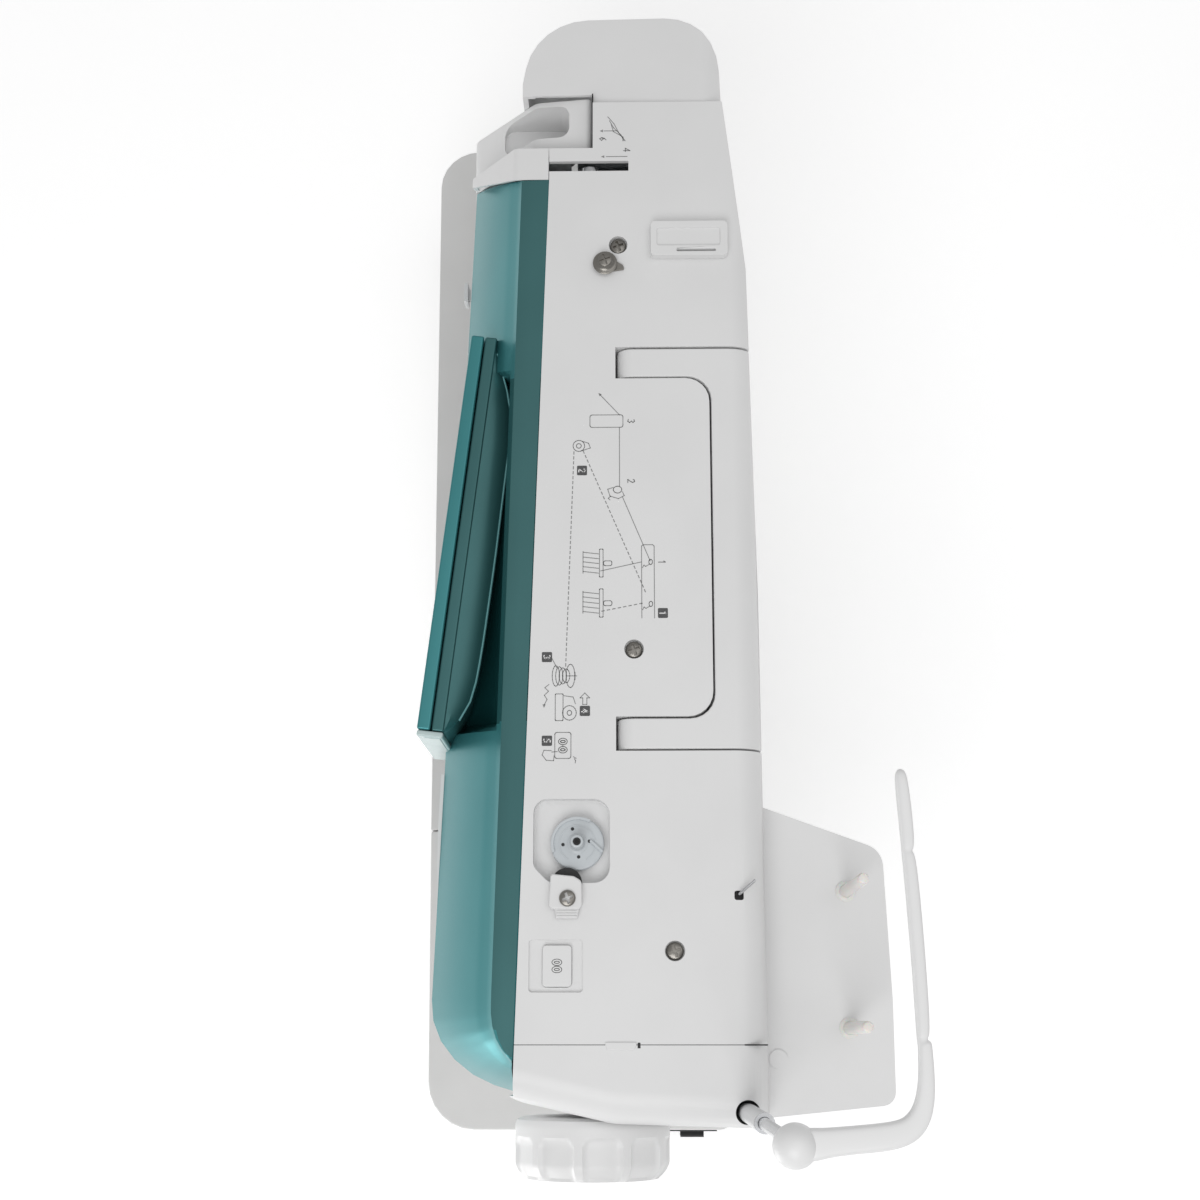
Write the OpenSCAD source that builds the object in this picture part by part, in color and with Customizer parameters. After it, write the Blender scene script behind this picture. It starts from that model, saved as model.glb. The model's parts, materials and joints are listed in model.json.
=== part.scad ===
// Computerised free-arm sewing machine with a telescopic thread guide.
// X runs along the bed towards the handwheel, Y towards the back, Z up.
// The origin is on the table, under the middle of the whole machine.

/* [Overall] */
// Length from the left end of the bed to the outer face of the handwheel
overall_w = 561; // [540:1:700]
// Depth from the front of the bed to the back of the spool platform
overall_d = 222; // [222:1:270]
// Height of the top cover above the table
machine_h = 300; // [285:1:380]
// Height of the bed above the table
bed_h = 106; // [96:1:128]
// Depth of the arm from the top cover to the throat
arm_depth = 74; // [70:1:90]
// Height of the rubber feet
foot_h = 6; // [4:0.5:8]
// Thickness of the plastic covers
wall = 2.5; // [2:0.1:3]
// Gap at each seam between two covers
seam = 0.3; // [0.2:0.05:0.5]

/* [Head] */
// Distance from the left end of the bed to the needle
needle_in = 84.5; // [80:0.5:95]
// Depth of the needle and of the upper shaft
shaft_y = -19.5; // [-22:0.5:-17]
// Drop of the head's underside below the top cover
head_depth = 110; // [105:1:118]
// Needle bar diameter
needle_bar_d = 7; // [6:0.1:7.4]
// Stroke of the needle bar
needle_stroke = 31; // [28:0.5:33]
// Presser bar diameter
presser_bar_d = 6; // [5:0.1:7]
// Distance between the needle bar and the presser bar
bar_gap = 17; // [14:0.5:18]

/* [Arm and column] */
// Distance from the handwheel's outer face to the column's throat side
column_in = 162.5; // [150:0.5:175]
// Front face of the column
body_front = -92; // [-98:1:-88]
// Back face of the arm and column
body_back = 56; // [54:1:62]
// Width of the sloping teal face, seen from above
slope_w = 37; // [32:1:42]
// Height of the sloping teal face
slope_h = 54; // [48:1:58]

/* [Handwheel and drive] */
// Handwheel diameter
wheel_d = 68; // [58:1:76]
// Handwheel width
wheel_w = 26.5; // [24:0.5:32]
// Number of finger flutes round the handwheel
wheel_flutes = 10; // [8:1:12]
// Depth of each finger flute
flute_depth = 2; // [1:0.1:2.6]
// Upper shaft diameter
shaft_d = 8; // [7:0.5:10]
// Drop of the upper shaft below the top cover
shaft_drop = 50; // [46:1:56]
// Upper belt pulley diameter
pulley_d = 44; // [36:1:50]
// Motor pulley diameter
motor_pulley_d = 16; // [13:1:20]
// Motor diameter
motor_d = 54; // [46:1:58]
// Radial clearance of a shaft in its hole
shaft_fit = 0.05; // [0.02:0.01:0.1]

/* [Carrying handle] */
// Width of the carrying handle
handle_w = 184; // [150:1:190]
// Width of each handle arm
handle_arm_w = 13.5; // [11:0.5:16]
// Width of the handle's grip bar
grip_w = 21; // [18:0.5:24]
// Thickness of the handle
handle_t = 14; // [12:0.5:16]
// Gap round the handle
handle_gap = 0.8; // [0.5:0.1:1.5]

/* [Screen] */
// Width of the screen pod
screen_w = 205; // [180:1:215]
// Height of the screen pod
screen_h = 74; // [68:1:80]
// Angle by which the pod turns towards the needle
screen_turn = 7.3; // [5:0.1:9]
// Thickness of the front bezel
bezel_t = 6; // [5:0.5:8]

/* [Thread stand] */
// Outer diameter of the lower mast tube
mast_d = 7.8; // [7:0.2:8.4]
// Outer diameter of the upper mast rod
rod_d = 4.6; // [4:0.2:5]
// Travel of the lower mast tube
tube_travel = 100; // [90:1:105]
// Travel of the upper mast rod
rod_travel = 110; // [95:1:112]
// Spool pin diameter
pin_d = 5; // [4:0.2:5.4]
// Spool pin length
pin_h = 68; // [60:1:75]
// Distance between the spool pins
pin_gap = 58.5; // [50:0.5:62]

/* [Bed and bobbin] */
// Width of the free arm
free_arm_w = 80; // [76:1:90]
// Depth of the free arm from top to bottom
free_arm_h = 40; // [38:1:44]
// Gap between the free arm and the extension table
table_gap = 0.5; // [0.4:0.1:1]
// Bobbin diameter
bobbin_d = 20.5; // [18:0.5:21]
// Bobbin height
bobbin_h = 11; // [9:0.5:12]

/* [Hidden] */
$fn = 48;

white = "#deddda";
bed_grey = "#d9d9d9";
teal = "#4f8a8c";
dark_teal = "#2f5f60";
steel = "#b9bcbe";

// Main places
left = -overall_w / 2;
right = overall_w / 2;
front = -overall_d / 2;
back = overall_d / 2;
top = machine_h;
bed_right = right - 14;
bed_back = body_back - 6;
body_right = right - 22.5;
end_seam = right - 57;
face_seam = left + 72;
throat_left = left + 130;
column_left = right - column_in;
throat_top = top - arm_depth;
head_z = top - head_depth;
needle_x = left + needle_in;
slot_x = needle_x + 20;
presser_y = shaft_y + bar_gap;
shaft_z = top - shaft_drop;
free_front = -66;
free_back = free_front + free_arm_w;
free_z = bed_h - free_arm_h;
big = 1000;

// ---- outline helpers ----
function unit(v) = v / norm(v);
function turn(a, b, c) = cross(b - a, c - b);
// Points of one corner b between a and c, rounded with radius r
function corner(a, b, c, r, n) =
    r <= 0 ? [b] :
    let (
        u = unit(a - b),
        v = unit(c - b),
        half = acos(u * v) / 2,
        centre = b + unit(u + v) * r / sin(half),
        p = b + u * r / tan(half) - centre,
        q = b + v * r / tan(half) - centre,
        start = atan2(p[1], p[0]),
        d = atan2(q[1], q[0]) - start,
        sweep = d > 180 ? d - 360 : d < -180 ? d + 360 : d
    )
    [for (i = [0:n]) centre + r * [cos(start + sweep * i / n), sin(start + sweep * i / n)]];
function xy(p) = [p[0], p[1]];
// Outline through the points [x, y, r], each corner rounded with its own r
function rounded(path, n = 6) = [
    for (i = [0:len(path) - 1])
        each corner(
            xy(path[(i + len(path) - 1) % len(path)]), xy(path[i]), xy(path[(i + 1) % len(path)]),
            path[i][2], n)
];
// The same outline moved inwards by w; the outline runs anticlockwise
function inset(path, w) = [
    for (i = [0:len(path) - 1])
        let (
            a = xy(path[(i + len(path) - 1) % len(path)]),
            b = xy(path[i]),
            c = xy(path[(i + 1) % len(path)]),
            u = unit(a - b),
            v = unit(c - b),
            half = acos(u * v) / 2,
            side = turn(a, b, c) > 0 ? 1 : -1,
            p = half > 89.9 ? b + w * [-(c - a)[1], (c - a)[0]] / norm(c - a)
                : b + side * unit(u + v) * w / sin(half)
        )
        [p[0], p[1], path[i][2] > 0 ? max(path[i][2] - side * w, 0.3) : 0]
];
function box_path(x0, x1, y0, y1, r) = [[x0, y0, r], [x1, y0, r], [x1, y1, r], [x0, y1, r]];

module block(x0, x1, y0, y1, z0, z1) {
    translate([x0, y0, z0]) cube([x1 - x0, y1 - y0, z1 - z0]);
}
module slab(path, z0, z1) {
    translate([0, 0, z0]) linear_extrude(z1 - z0) polygon(rounded(path));
}
// A profile given in [y, z], swept along X
module along_x(path, x0, x1) {
    translate([x0, 0, 0]) rotate([90, 0, 90]) linear_extrude(x1 - x0) polygon(rounded(path));
}
module rod_x(x0, x1, y, z, d) {
    translate([x0, y, z]) rotate([0, 90, 0]) cylinder(d = d, h = x1 - x0);
}
module rod_y(x, y0, y1, z, d) {
    translate([x, y1, z]) rotate([90, 0, 0]) cylinder(d = d, h = y1 - y0);
}
module rod_z(x, y, z0, z1, d) {
    translate([x, y, z0]) cylinder(d = d, h = z1 - z0);
}

// ---- the body's outer shape ----
ridge_y = body_front + slope_w;
shoulder_z = top - slope_h;
function body_profile(z0) = [
    [-84, z0, 0], [body_back, z0, 0], [body_back, top, 13], [ridge_y, top, 4],
    [body_front, shoulder_z + 2, 10], [-84, throat_top, 6]
];
body_plan = [
    [face_seam, body_front + 15.5, 0], [right - 121.5, body_front - 0.2, 60],
    [right - 72, body_front - 0.2, 34], [right - 34, -52, 22], [right - 24.5, -10, 40],
    [body_right, body_back, 7], [27, body_back - 1, 0], [left + 155, body_back - 4, 0],
    [face_seam, body_back - 14, 0]
];
// Front edge of the top cover, where the teal panel starts
teal_head = left + 92.5;
seam_head_y = -39;
seam_end_y = -52;
lid_depth = 28;

// Rounding of the top's right end, along two sides of the plan
end_r = 14;
end_sides = [[[right - 34, -52], [right - 24.5, -10]], [[right - 24.5, -10], [body_right, body_back]]];
module end_round(w) {
    intersection_for (e = end_sides)
        translate([e[0][0], e[0][1], 0])
        rotate([0, 0, atan2(e[1][1] - e[0][1], e[1][0] - e[0][0])])
            along_x([[w, -1, 0], [big, -1, 0], [big, top - w, 0], [w, top - w, end_r - w]], -big, big);
}
module throat(grow) {
    slab(box_path(throat_left + grow, column_left - grow, -big, big, 0), -1, throat_top - grow);
    block(-big, column_left - grow, -big, big, -1, head_z - grow);
}
module body_outer() {
    difference() {
        intersection() {
            along_x(body_profile(bed_h), face_seam, right);
            slab(body_plan, bed_h, top + 1);
            end_round(0);
        }
        throat(0);
    }
}
module body_inner() {
    difference() {
        intersection() {
            along_x(inset(body_profile(bed_h - 2 * wall), wall), face_seam - 1, right);
            slab(inset(concat([[face_seam - 9, body_front + 15.5, 0]],
                    [for (i = [1:len(body_plan) - 2]) body_plan[i]],
                    [[face_seam - 9, body_back - 14, 0]]), wall), bed_h - 1, top);
            end_round(wall);
        }
        throat(-wall);
    }
}
module body_shell() {
    difference() {
        body_outer();
        body_inner();
    }
}
// The panel's head end leans by this much from the shoulder to the top
slant = 19;
module right_of_slant(shift) {
    translate([shift, big, 0]) rotate([90, 0, 0]) linear_extrude(2 * big) polygon([
        [teal_head - slant, shoulder_z - slope_h], [big, shoulder_z - slope_h],
        [big, top + slope_h], [teal_head + 2 * slant, top + slope_h]
    ]);
}
// Region in front of the top cover's front edge
module teal_region(shift, z0) {
    intersection() {
        slab([
            [teal_head - slant, -big, 0], [right - 36 - shift, -big, 0],
            [right - 36 - shift, seam_end_y - shift, 0], [teal_head - slant, seam_head_y + 1.2 - shift, 0]
        ], z0, top + 1);
        right_of_slant(shift);
    }
}
nose_right = slot_x - 9.5;
nose_back = shaft_y + 0.5;

// ---- carrying handle places ----
handle_mid = 6.5;
handle_x0 = handle_mid - handle_w / 2;
handle_x1 = handle_mid + handle_w / 2;
handle_y = -0.5;
handle_z = top - handle_t / 2;
pocket_z = top - handle_t - 2;
grip_y = body_back - grip_w;
pivot_d = 4;
module handle_plan(grow, z0, z1, y1) {
    difference() {
        slab(box_path(handle_x0 - grow, handle_x1 + grow, handle_y - handle_t / 2 - grow, y1, 0),
            z0, z1);
        slab([
            [handle_x0 + handle_arm_w + grow, -big, 0], [handle_x1 - handle_arm_w - grow, -big, 0],
            [handle_x1 - handle_arm_w - grow, grip_y - grow, 11],
            [handle_x0 + handle_arm_w + grow, grip_y - grow, 11]
        ], z0 - 1, z1 + 1);
    }
}

// ---- winder, screws and fittings on the top cover ----
winder_x = right - 141.3;
winder_y = -25;
winder_seat_d = 23;
winder_shaft_d = 6;
recess_drop = 6;
module winder_plan(grow, z0, z1) {
    slab([
        [winder_x - 19 - grow, winder_y - 19 - grow, 6], [winder_x + 10, winder_y - 19 - grow, 6],
        [winder_x + 17 + grow, winder_y - 12, 6], [winder_x + 17 + grow, winder_y + 14 + grow, 7],
        [winder_x - 19 - grow, winder_y + 14 + grow, 7]
    ], z0, z1);
}
stopper_x = right - 117;
stopper_y = -29;
stopper_w = 15;
stopper_travel = 5;
button_x = right - 89.5;
button_y = -33.5;
screw_places = [[54.3, -0.3], [right - 95.7, 16.5], [left + 144.2, -6.9]];
screw_head_d = 7.6;
screw_recess_d = 8.6;
mast_x = right - 29.5;
mast_y = 46.4;
socket_wall = 1.2;
tube_bore = rod_d + 2 * shaft_fit;
socket_bore = mast_d + 2 * shaft_fit;
socket_d = socket_bore + 2 * socket_wall;
platform_z = top - 25;
pin_x = right - 122.5;
pin_y = back - 19;

// ---- base and bed ----
module base_plate() {
    color("#3c3f42") difference() {
        slab(box_path(left + 40, bed_right - 6, free_front + 6, bed_back - 20, 12), foot_h, foot_h + 3);
        for (p = foot_places) rod_z(p[0], p[1], 0, foot_h + 4, 5);
    }
}
foot_places = [
    [left + 62, free_front + 20], [left + 62, bed_back - 36], [bed_right - 26, free_front + 20],
    [bed_right - 26, bed_back - 36], [column_left - 20, -18]
];
module rubber_feet() {
    color("#2b2b2b") for (p = foot_places) {
        rod_z(p[0], p[1], 0, foot_h, 18);
        rod_z(p[0], p[1], foot_h - 1, foot_h + 3, 4.8);
    }
}
base_path = [
    [column_left - 5, front + 1.6, 0], [bed_right, front + 3, 24], [bed_right, bed_back, 8],
    [column_left - 5, bed_back, 0]
];
inlet_y = 29;
inlet_z = 46;
module base_shell() {
    color(bed_grey) difference() {
        slab(base_path, foot_h + 3, bed_h);
        slab(inset(base_path, wall), foot_h + 2, bed_h - wall);
        // Opening under the column for the frame, the belt and the wiring
        block(column_left + 12, body_right - 8, -62, 40, bed_h - wall - 1, bed_h + 1);
        // Opening on the left for the free arm's frame
        block(column_left - 6, column_left, free_front + wall + 2, free_back - wall - 2,
            free_z + wall, bed_h - wall - 2);
        // Window for the mains inlet and the switch
        block(bed_right - wall - 1, bed_right + 1, inlet_y - 11, inlet_y + 11, inlet_z - 28, inlet_z + 28);
    }
}
plate_x0 = needle_x - 36;
plate_x1 = needle_x + 38;
plate_y0 = free_front + 5;
plate_y1 = shaft_y + 28;
plate_t = 2.4;
free_path = [
    [left + 22, free_front, 12], [column_left - 5, free_front, 0],
    [column_left - 5, free_back, 0], [left + 22, free_back, 12]
];
module free_arm_cover() {
    color(white) difference() {
        slab(free_path, free_z, bed_h);
        difference() {
            slab(inset(free_path, wall), free_z + wall, bed_h - wall);
            block(-big, left + 22 + wall, -big, big, 0, bed_h);
        }
        block(column_left - 6 - wall, column_left, free_front + wall, free_back - wall,
            free_z + wall, bed_h - wall);
        slab(box_path(plate_x0 - 0.2, plate_x1 + 0.2, plate_y0 - 0.2, plate_y1 + 0.2, 4),
            bed_h - wall - 1, bed_h + 1);
    }
}
// Feed dog slots: [x offset, front, back] from the needle
dog_rows = [[-9, -13, 15], [0, 6, 15], [9, -13, 15]];
dog_w = 3;
dog_travel = 2;
hook_y = shaft_y - 23;
cover_w = 38;
cover_y0 = plate_y0 + 3;
cover_y1 = shaft_y - 7.5;
module needle_plate() {
    color(steel) difference() {
        slab(box_path(plate_x0, plate_x1, plate_y0, plate_y1, 4), bed_h - plate_t, bed_h);
        for (r = dog_rows)
            block(needle_x + r[0] - dog_w / 2 - 0.6, needle_x + r[0] + dog_w / 2 + 0.6,
                shaft_y + r[1] + (r[0] == 0 ? 0 : 8), shaft_y + r[2] + 3, 0, bed_h + 1);
        block(needle_x - 4.5, needle_x + 4.5, shaft_y - 1, shaft_y + 1, 0, bed_h + 1);
        slab(box_path(needle_x - cover_w / 2 - 0.3, needle_x + cover_w / 2 + 0.3,
            cover_y0 - 0.3, cover_y1 + 0.3, 3), bed_h - plate_t - 1, bed_h + 1);
    }
}
module bobbin_cover() {
    color("#e9eef0") slab(box_path(needle_x - cover_w / 2, needle_x + cover_w / 2,
        cover_y0, cover_y1, 3), bed_h - plate_t, bed_h);
}
hook_d = 34;
hook_z = bed_h - 24;
module rotary_hook() {
    color(steel) {
        difference() {
            rod_z(needle_x, hook_y, hook_z, bed_h - 8, hook_d);
            rod_z(needle_x, hook_y, hook_z + 2, bed_h, hook_d - 4);
        }
        rod_z(needle_x, hook_y, free_z + wall + 1, hook_z + 0.5, shaft_d);
    }
}
module bobbin_holder() {
    color("#33373a") difference() {
        rod_z(needle_x, hook_y, hook_z + 2.5, bed_h - 5, hook_d - 5);
        rod_z(needle_x, hook_y, hook_z + 4.5, bed_h, bobbin_d + 2);
    }
}
module bobbin() {
    color("#eef4f5") translate([needle_x, hook_y, hook_z + 5]) rotate_extrude() polygon([
        [3, 0], [bobbin_d / 2, 0], [bobbin_d / 2, 1], [4.5, 1], [4.5, bobbin_h - 1],
        [bobbin_d / 2, bobbin_h - 1], [bobbin_d / 2, bobbin_h], [3, bobbin_h]
    ]);
}
module feed_dogs() {
    color(steel) {
        for (r = dog_rows)
            block(needle_x + r[0] - dog_w / 2, needle_x + r[0] + dog_w / 2,
                shaft_y + (r[0] == 0 ? r[1] : r[1] + 8) + 2.6, shaft_y + r[2] + 0.4, bed_h - 9, bed_h + 0.6);
        block(needle_x - 11, needle_x + 11, shaft_y + 8.6, shaft_y + 15.4, bed_h - 12, bed_h - 8);
    }
}
table_path = [
    [left, front, 22], [column_left - 5 - table_gap, front + 1.6, 0],
    [column_left - 5 - table_gap, bed_back, 0], [left, bed_back, 22]
];
module extension_table() {
    color(bed_grey) difference() {
        slab(table_path, foot_h + 2, bed_h);
        // Room for the free arm, open towards the column and to the gap below it
        slab([
            [left + 22 - table_gap, free_front - table_gap, 12.5],
            [column_left, free_front - table_gap, 0], [column_left, free_back + table_gap, 0],
            [left + 22 - table_gap, free_back + table_gap, 12.5]
        ], foot_h, bed_h + 1);
        // The hollow underside, with a wall left round the free arm
        difference() {
            slab(inset(table_path, wall), foot_h, bed_h - wall);
            slab([
                [left + 22 - table_gap - wall, free_front - table_gap - wall, 14],
                [column_left, free_front - table_gap - wall, 0],
                [column_left, free_back + table_gap + wall, 0],
                [left + 22 - table_gap - wall, free_back + table_gap + wall, 14]
            ], foot_h + 20, bed_h + 1);
        }
        slab(box_path(left + wall + 30, column_left, free_front - 20, bed_back - 12, 0), foot_h, foot_h + 21);
    }
}

// ---- covers ----
module front_cover() {
    color(white) difference() {
        union() {
            intersection() {
                body_shell();
                block(face_seam, end_seam - seam / 2, -big, -seam / 2, 0, shoulder_z - seam / 2);
            }
            // Band between the head and the teal panel
            intersection() {
                body_shell();
                difference() {
                    block(face_seam, teal_head + slant, -big, seam_head_y - seam, shoulder_z - 1, top + 1);
                    teal_region(-seam, shoulder_z - 2);
                }
            }
        }
        nose_room(seam);
        head_opening();
        screen_room();
        for (b = front_buttons) rod_y(b[0], -big, 0, b[1], b[2] + 0.8);
        block(slider_x - 6, slider_x + slider_travel + 6, -big, -60, slider_z - 1.6, slider_z + 1.6);
        block(lens_x0 - 0.2, lens_x1 + 0.2, lens_y0 - 0.2, lens_y1 + 0.2, head_z - 1, head_z + wall + 1);
    }
}
module rear_cover() {
    color(white) difference() {
        intersection() {
            body_shell();
            block(face_seam, end_seam - seam / 2, seam / 2, big, 0, top - lid_depth - seam / 2);
        }
        head_opening();
        // Slot for the presser lever
        block(needle_x - 7, needle_x + 7, 0, big, head_z - 1, head_z + 48);
    }
}
module head_opening() {
    block(face_seam - 1, slot_x, shaft_y - 15, presser_y + 20, head_z - 1, head_z + wall + 1);
}
module nose_room(grow) {
    block(nose_left - grow, nose_right + grow, -big, nose_back + grow, head_z + 44 - grow, top + 1);
}
take_up_y0 = -39;
take_up_y1 = -2;
slot_w = 5;
module top_cover() {
    color(white) difference() {
        union() {
            intersection() {
                body_shell();
                difference() {
                    block(face_seam, end_seam - seam / 2, -big, big, top - lid_depth + seam / 2, top + 1);
                    teal_region(0, 0);
                    block(face_seam - 1, teal_head + slant, -big, seam_head_y, 0, top + 2);
                }
            }
            // Tray under the handle and pan under the winder
            intersection() {
                body_outer();
                union() {
                    handle_plan(handle_gap + wall, pocket_z - wall, top, big);
                    winder_plan(wall, top - recess_drop - wall, top);
                }
            }
            block(button_x - 12, button_x + 12, button_y - 13, button_y + 12, top - 5, top - 1);
            for (p = screw_places) rod_z(p[0], p[1], top - 14, top - 1, screw_head_d + 4);
        }
        handle_plan(handle_gap, pocket_z, top + 1, big);
        for (x = [handle_x0 - handle_gap - wall - 1, handle_x1])
            rod_x(x, x + handle_gap + wall + 1, handle_y, handle_z, pivot_d + 2 * shaft_fit);
        winder_plan(0, top - recess_drop, top + 1);
        rod_z(winder_x, winder_y, top - 12, top, winder_shaft_d + 2 * shaft_fit);
        // Slot that the stopper's stem slides in
        block(stopper_x - 4 - stopper_travel, stopper_x + 4, stopper_y - 3, stopper_y + 3, top - 12, top + 1);
        // Button recess and its hole
        slab(box_path(button_x - 11, button_x + 11, button_y - 12, button_y + 11, 1.5), top - 1.4, top + 1);
        slab(box_path(button_x - 8.9, button_x + 8.9, button_y - 6.4, button_y + 6.4, 2), top - 6, top + 1);
        for (p = screw_places) {
            rod_z(p[0], p[1], top - 3, top + 1, screw_recess_d);
            rod_z(p[0], p[1], top - 15, top, 3 + 2 * shaft_fit);
        }
        block(slot_x - slot_w / 2, slot_x + slot_w / 2, take_up_y0 - 2, take_up_y1, top - 40, top + 1);
        nose_room(seam);
        wire_slot();
    }
}
module wire_slot() {
    slab(box_path(wire_x - 1, wire_x + 3, wire_y - 3, wire_y + 1, 1), top - 6, top + 1);
}
module front_panel() {
    color(teal) difference() {
        intersection() {
            body_shell();
            teal_region(seam, shoulder_z + seam / 2);
        }
        screen_room();
    }
}
module end_cover() {
    color(white) difference() {
        union() {
            intersection() {
                body_shell();
                difference() {
                    block(end_seam + seam / 2, right, -big, big, bed_h, top + 1);
                    teal_region(0, shoulder_z);
                }
            }
            intersection() {
                body_outer();
                union() {
                    rod_z(mast_x, mast_y, bed_h + 20, top - 1, socket_d + 4);
                    // Dish behind the handwheel
                    difference() {
                        rod_x(wheel_x0 - 6, right, shaft_y, shaft_z, wheel_d + 9);
                        teal_region(0, shoulder_z);
                    }
                }
            }
        }
        rod_x(wheel_x0 - 2, right, shaft_y, shaft_z, wheel_d + 4);
        rod_x(end_seam, right, shaft_y, shaft_z, shaft_d + 2);
        rod_z(mast_x, mast_y, bed_h, top + 1, socket_d);
    }
}
nose_left = left + 67;
nose_front = -78;
face_back = body_back - 14;
face_end = left + 27.5;
face_path = [
    [face_end, -47, 34], [face_seam - seam, nose_back + seam, 0],
    [face_seam - seam, face_back, 0], [face_end, face_back - 2, 26]
];
face_front_path = [
    [face_end, -46, 30], [face_seam - 12, -52, 6], [face_seam - seam, -52, 0],
    [face_seam - seam, face_back, 0], [face_end, face_back - 2, 26]
];
function face_profile(z0) = [
    [-60, z0, 0], [face_back + 2, z0, 0], [face_back + 2, top - 1, 13], [-60, top - 4, 8]
];
module face_cover() {
    color(white) difference() {
        intersection() {
            slab(face_front_path, head_z, top);
            along_x(face_profile(head_z), left, face_seam);
        }
        intersection() {
            slab(inset(face_front_path, wall), head_z - 1, top);
            along_x(inset(face_profile(head_z - 2 * wall), wall), left, face_seam);
        }
        block(face_seam - 6, face_seam + 1, -46, face_back - wall, head_z - 1, top - 2 * wall);
        nose_room(seam);
    }
    // Flange that closes the front cover's end, under the nose
    color(white) block(nose_left, face_seam - seam, nose_front + 3, -46, head_z, head_z + 44 - seam);
}
nose_top = top - 12;
nose_profile = [
    [nose_front, head_z + 44, 0], [nose_back, head_z + 44, 0], [nose_back, nose_top + 6, 3],
    [-46, nose_top + 2, 8], [nose_front, nose_top - 38, 12]
];
module head_nose() {
    color(white) difference() {
        along_x(nose_profile, nose_left, nose_right);
        along_x(inset(nose_profile, wall), nose_left + wall, nose_right - wall);
        // Open underneath, and at the back round the needle bar
        block(nose_left + wall, nose_right - wall, nose_front + wall, nose_back - wall,
            head_z + 43, head_z + 60);
        block(needle_x - 10.5, nose_right + 1, shaft_y - 10, nose_back + 1, head_z + 43, top - 14);
        teal_region(-seam, shoulder_z - 2);
        // Finger pocket in front of the head
        pocket(0);
    }
    color(white) difference() {
        intersection() {
            pocket(wall);
            along_x(nose_profile, nose_left, nose_right);
        }
        pocket(0);
    }
}
module pocket(grow) {
    slab(box_path(nose_left + wall - grow, nose_left + 18.5 + grow, -62 - grow, -30 + grow, 5),
        top - 34 - grow, top + 1);
}

// ---- frame and drive ----
bush_places = [left + 146, 60, end_seam - 12];
bush_w = 12;
bush_d = shaft_d + 7;
beam_z = throat_top + wall + 4;
post_x = end_seam - 18;
motor_z = foot_h + 54;
module chassis() {
    color("#8f9396") difference() {
        union() {
            // Arm beam, column post, base rail and free arm rail
            block(left + 75, post_x + 12, 8, 36, beam_z, beam_z + 6);
            block(post_x, post_x + 12, -40, 36, foot_h + 6, beam_z + 6);
            block(column_left + 6, post_x + 12, -40, 36, foot_h + 3, foot_h + 7);
            block(column_left + 6, column_left + 12, -40, 6, foot_h + 3, free_z + wall + 3);
            block(needle_x - 18, column_left + 12, free_front + 8, free_back - 8, free_z + wall, free_z + wall + 3);
            for (x = bush_places) block(x - bush_w / 2, x + bush_w / 2, shaft_y - 11, 36, beam_z, shaft_z + 11);
            // Head frame with its two guides and the take-up bracket
            block(needle_x - 13, needle_x + 15, 8, 13, head_z + 10, top - 20);
            for (z = [head_z + 8, top - 30])
                block(needle_x - 9, needle_x + 9, shaft_y - 7, 13, z, z + 6);
            block(needle_x + 12, needle_x + 15, shaft_y - 6, 13, top - 48, top - 32);
        }
        rod_z(needle_x, shaft_y, 0, big, needle_bar_d + 2 * shaft_fit);
        rod_z(needle_x, presser_y, head_z, big, presser_bar_d + 2 * shaft_fit);
        rod_x(left, right, shaft_y, shaft_z, bush_d);
        rod_x(post_x - 1, post_x + 13, shaft_y, motor_z, shaft_d + 2 * shaft_fit);
        rod_x(needle_x + 11, needle_x + 16, take_up_pivot_y, take_up_pivot_z, 4 + 2 * shaft_fit);
        rod_z(needle_x, hook_y, 0, hook_z, shaft_d + 2 * shaft_fit);
        rod_x(needle_x - 8, needle_x + 8, lever_y, lever_z, 4 + 2 * shaft_fit);
    }
}
module shaft_bushes() {
    color("#b5904a") for (x = bush_places) difference() {
        rod_x(x - bush_w / 2, x + bush_w / 2, shaft_y, shaft_z, bush_d);
        rod_x(x - bush_w, x + bush_w, shaft_y, shaft_z, shaft_d + 2 * shaft_fit);
    }
}
pulley_x = end_seam - 2;
pulley_w = 10;
crank_x = slot_x + 4;
module upper_shaft() {
    color(steel) {
        rod_x(crank_x, wheel_x0 + 8, shaft_y, shaft_z, shaft_d);
        rod_x(crank_x, crank_x + 6, shaft_y, shaft_z, 30);
        rod_x(pulley_x, pulley_x + pulley_w, shaft_y, shaft_z, pulley_d);
    }
}
module motor() {
    color("#6d7174") difference() {
        union() {
            rod_x(post_x - 62, post_x, shaft_y, motor_z, motor_d);
            rod_x(post_x - 70, post_x - 61, shaft_y, motor_z, 20);
        }
        rod_x(post_x - 20, post_x + 1, shaft_y, motor_z, shaft_d + 2 * shaft_fit);
    }
}
module motor_pulley() {
    color("#3a3d40") {
        rod_x(post_x - 19, pulley_x + pulley_w, shaft_y, motor_z, shaft_d);
        rod_x(pulley_x, pulley_x + pulley_w, shaft_y, motor_z, motor_pulley_d);
    }
}
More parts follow.
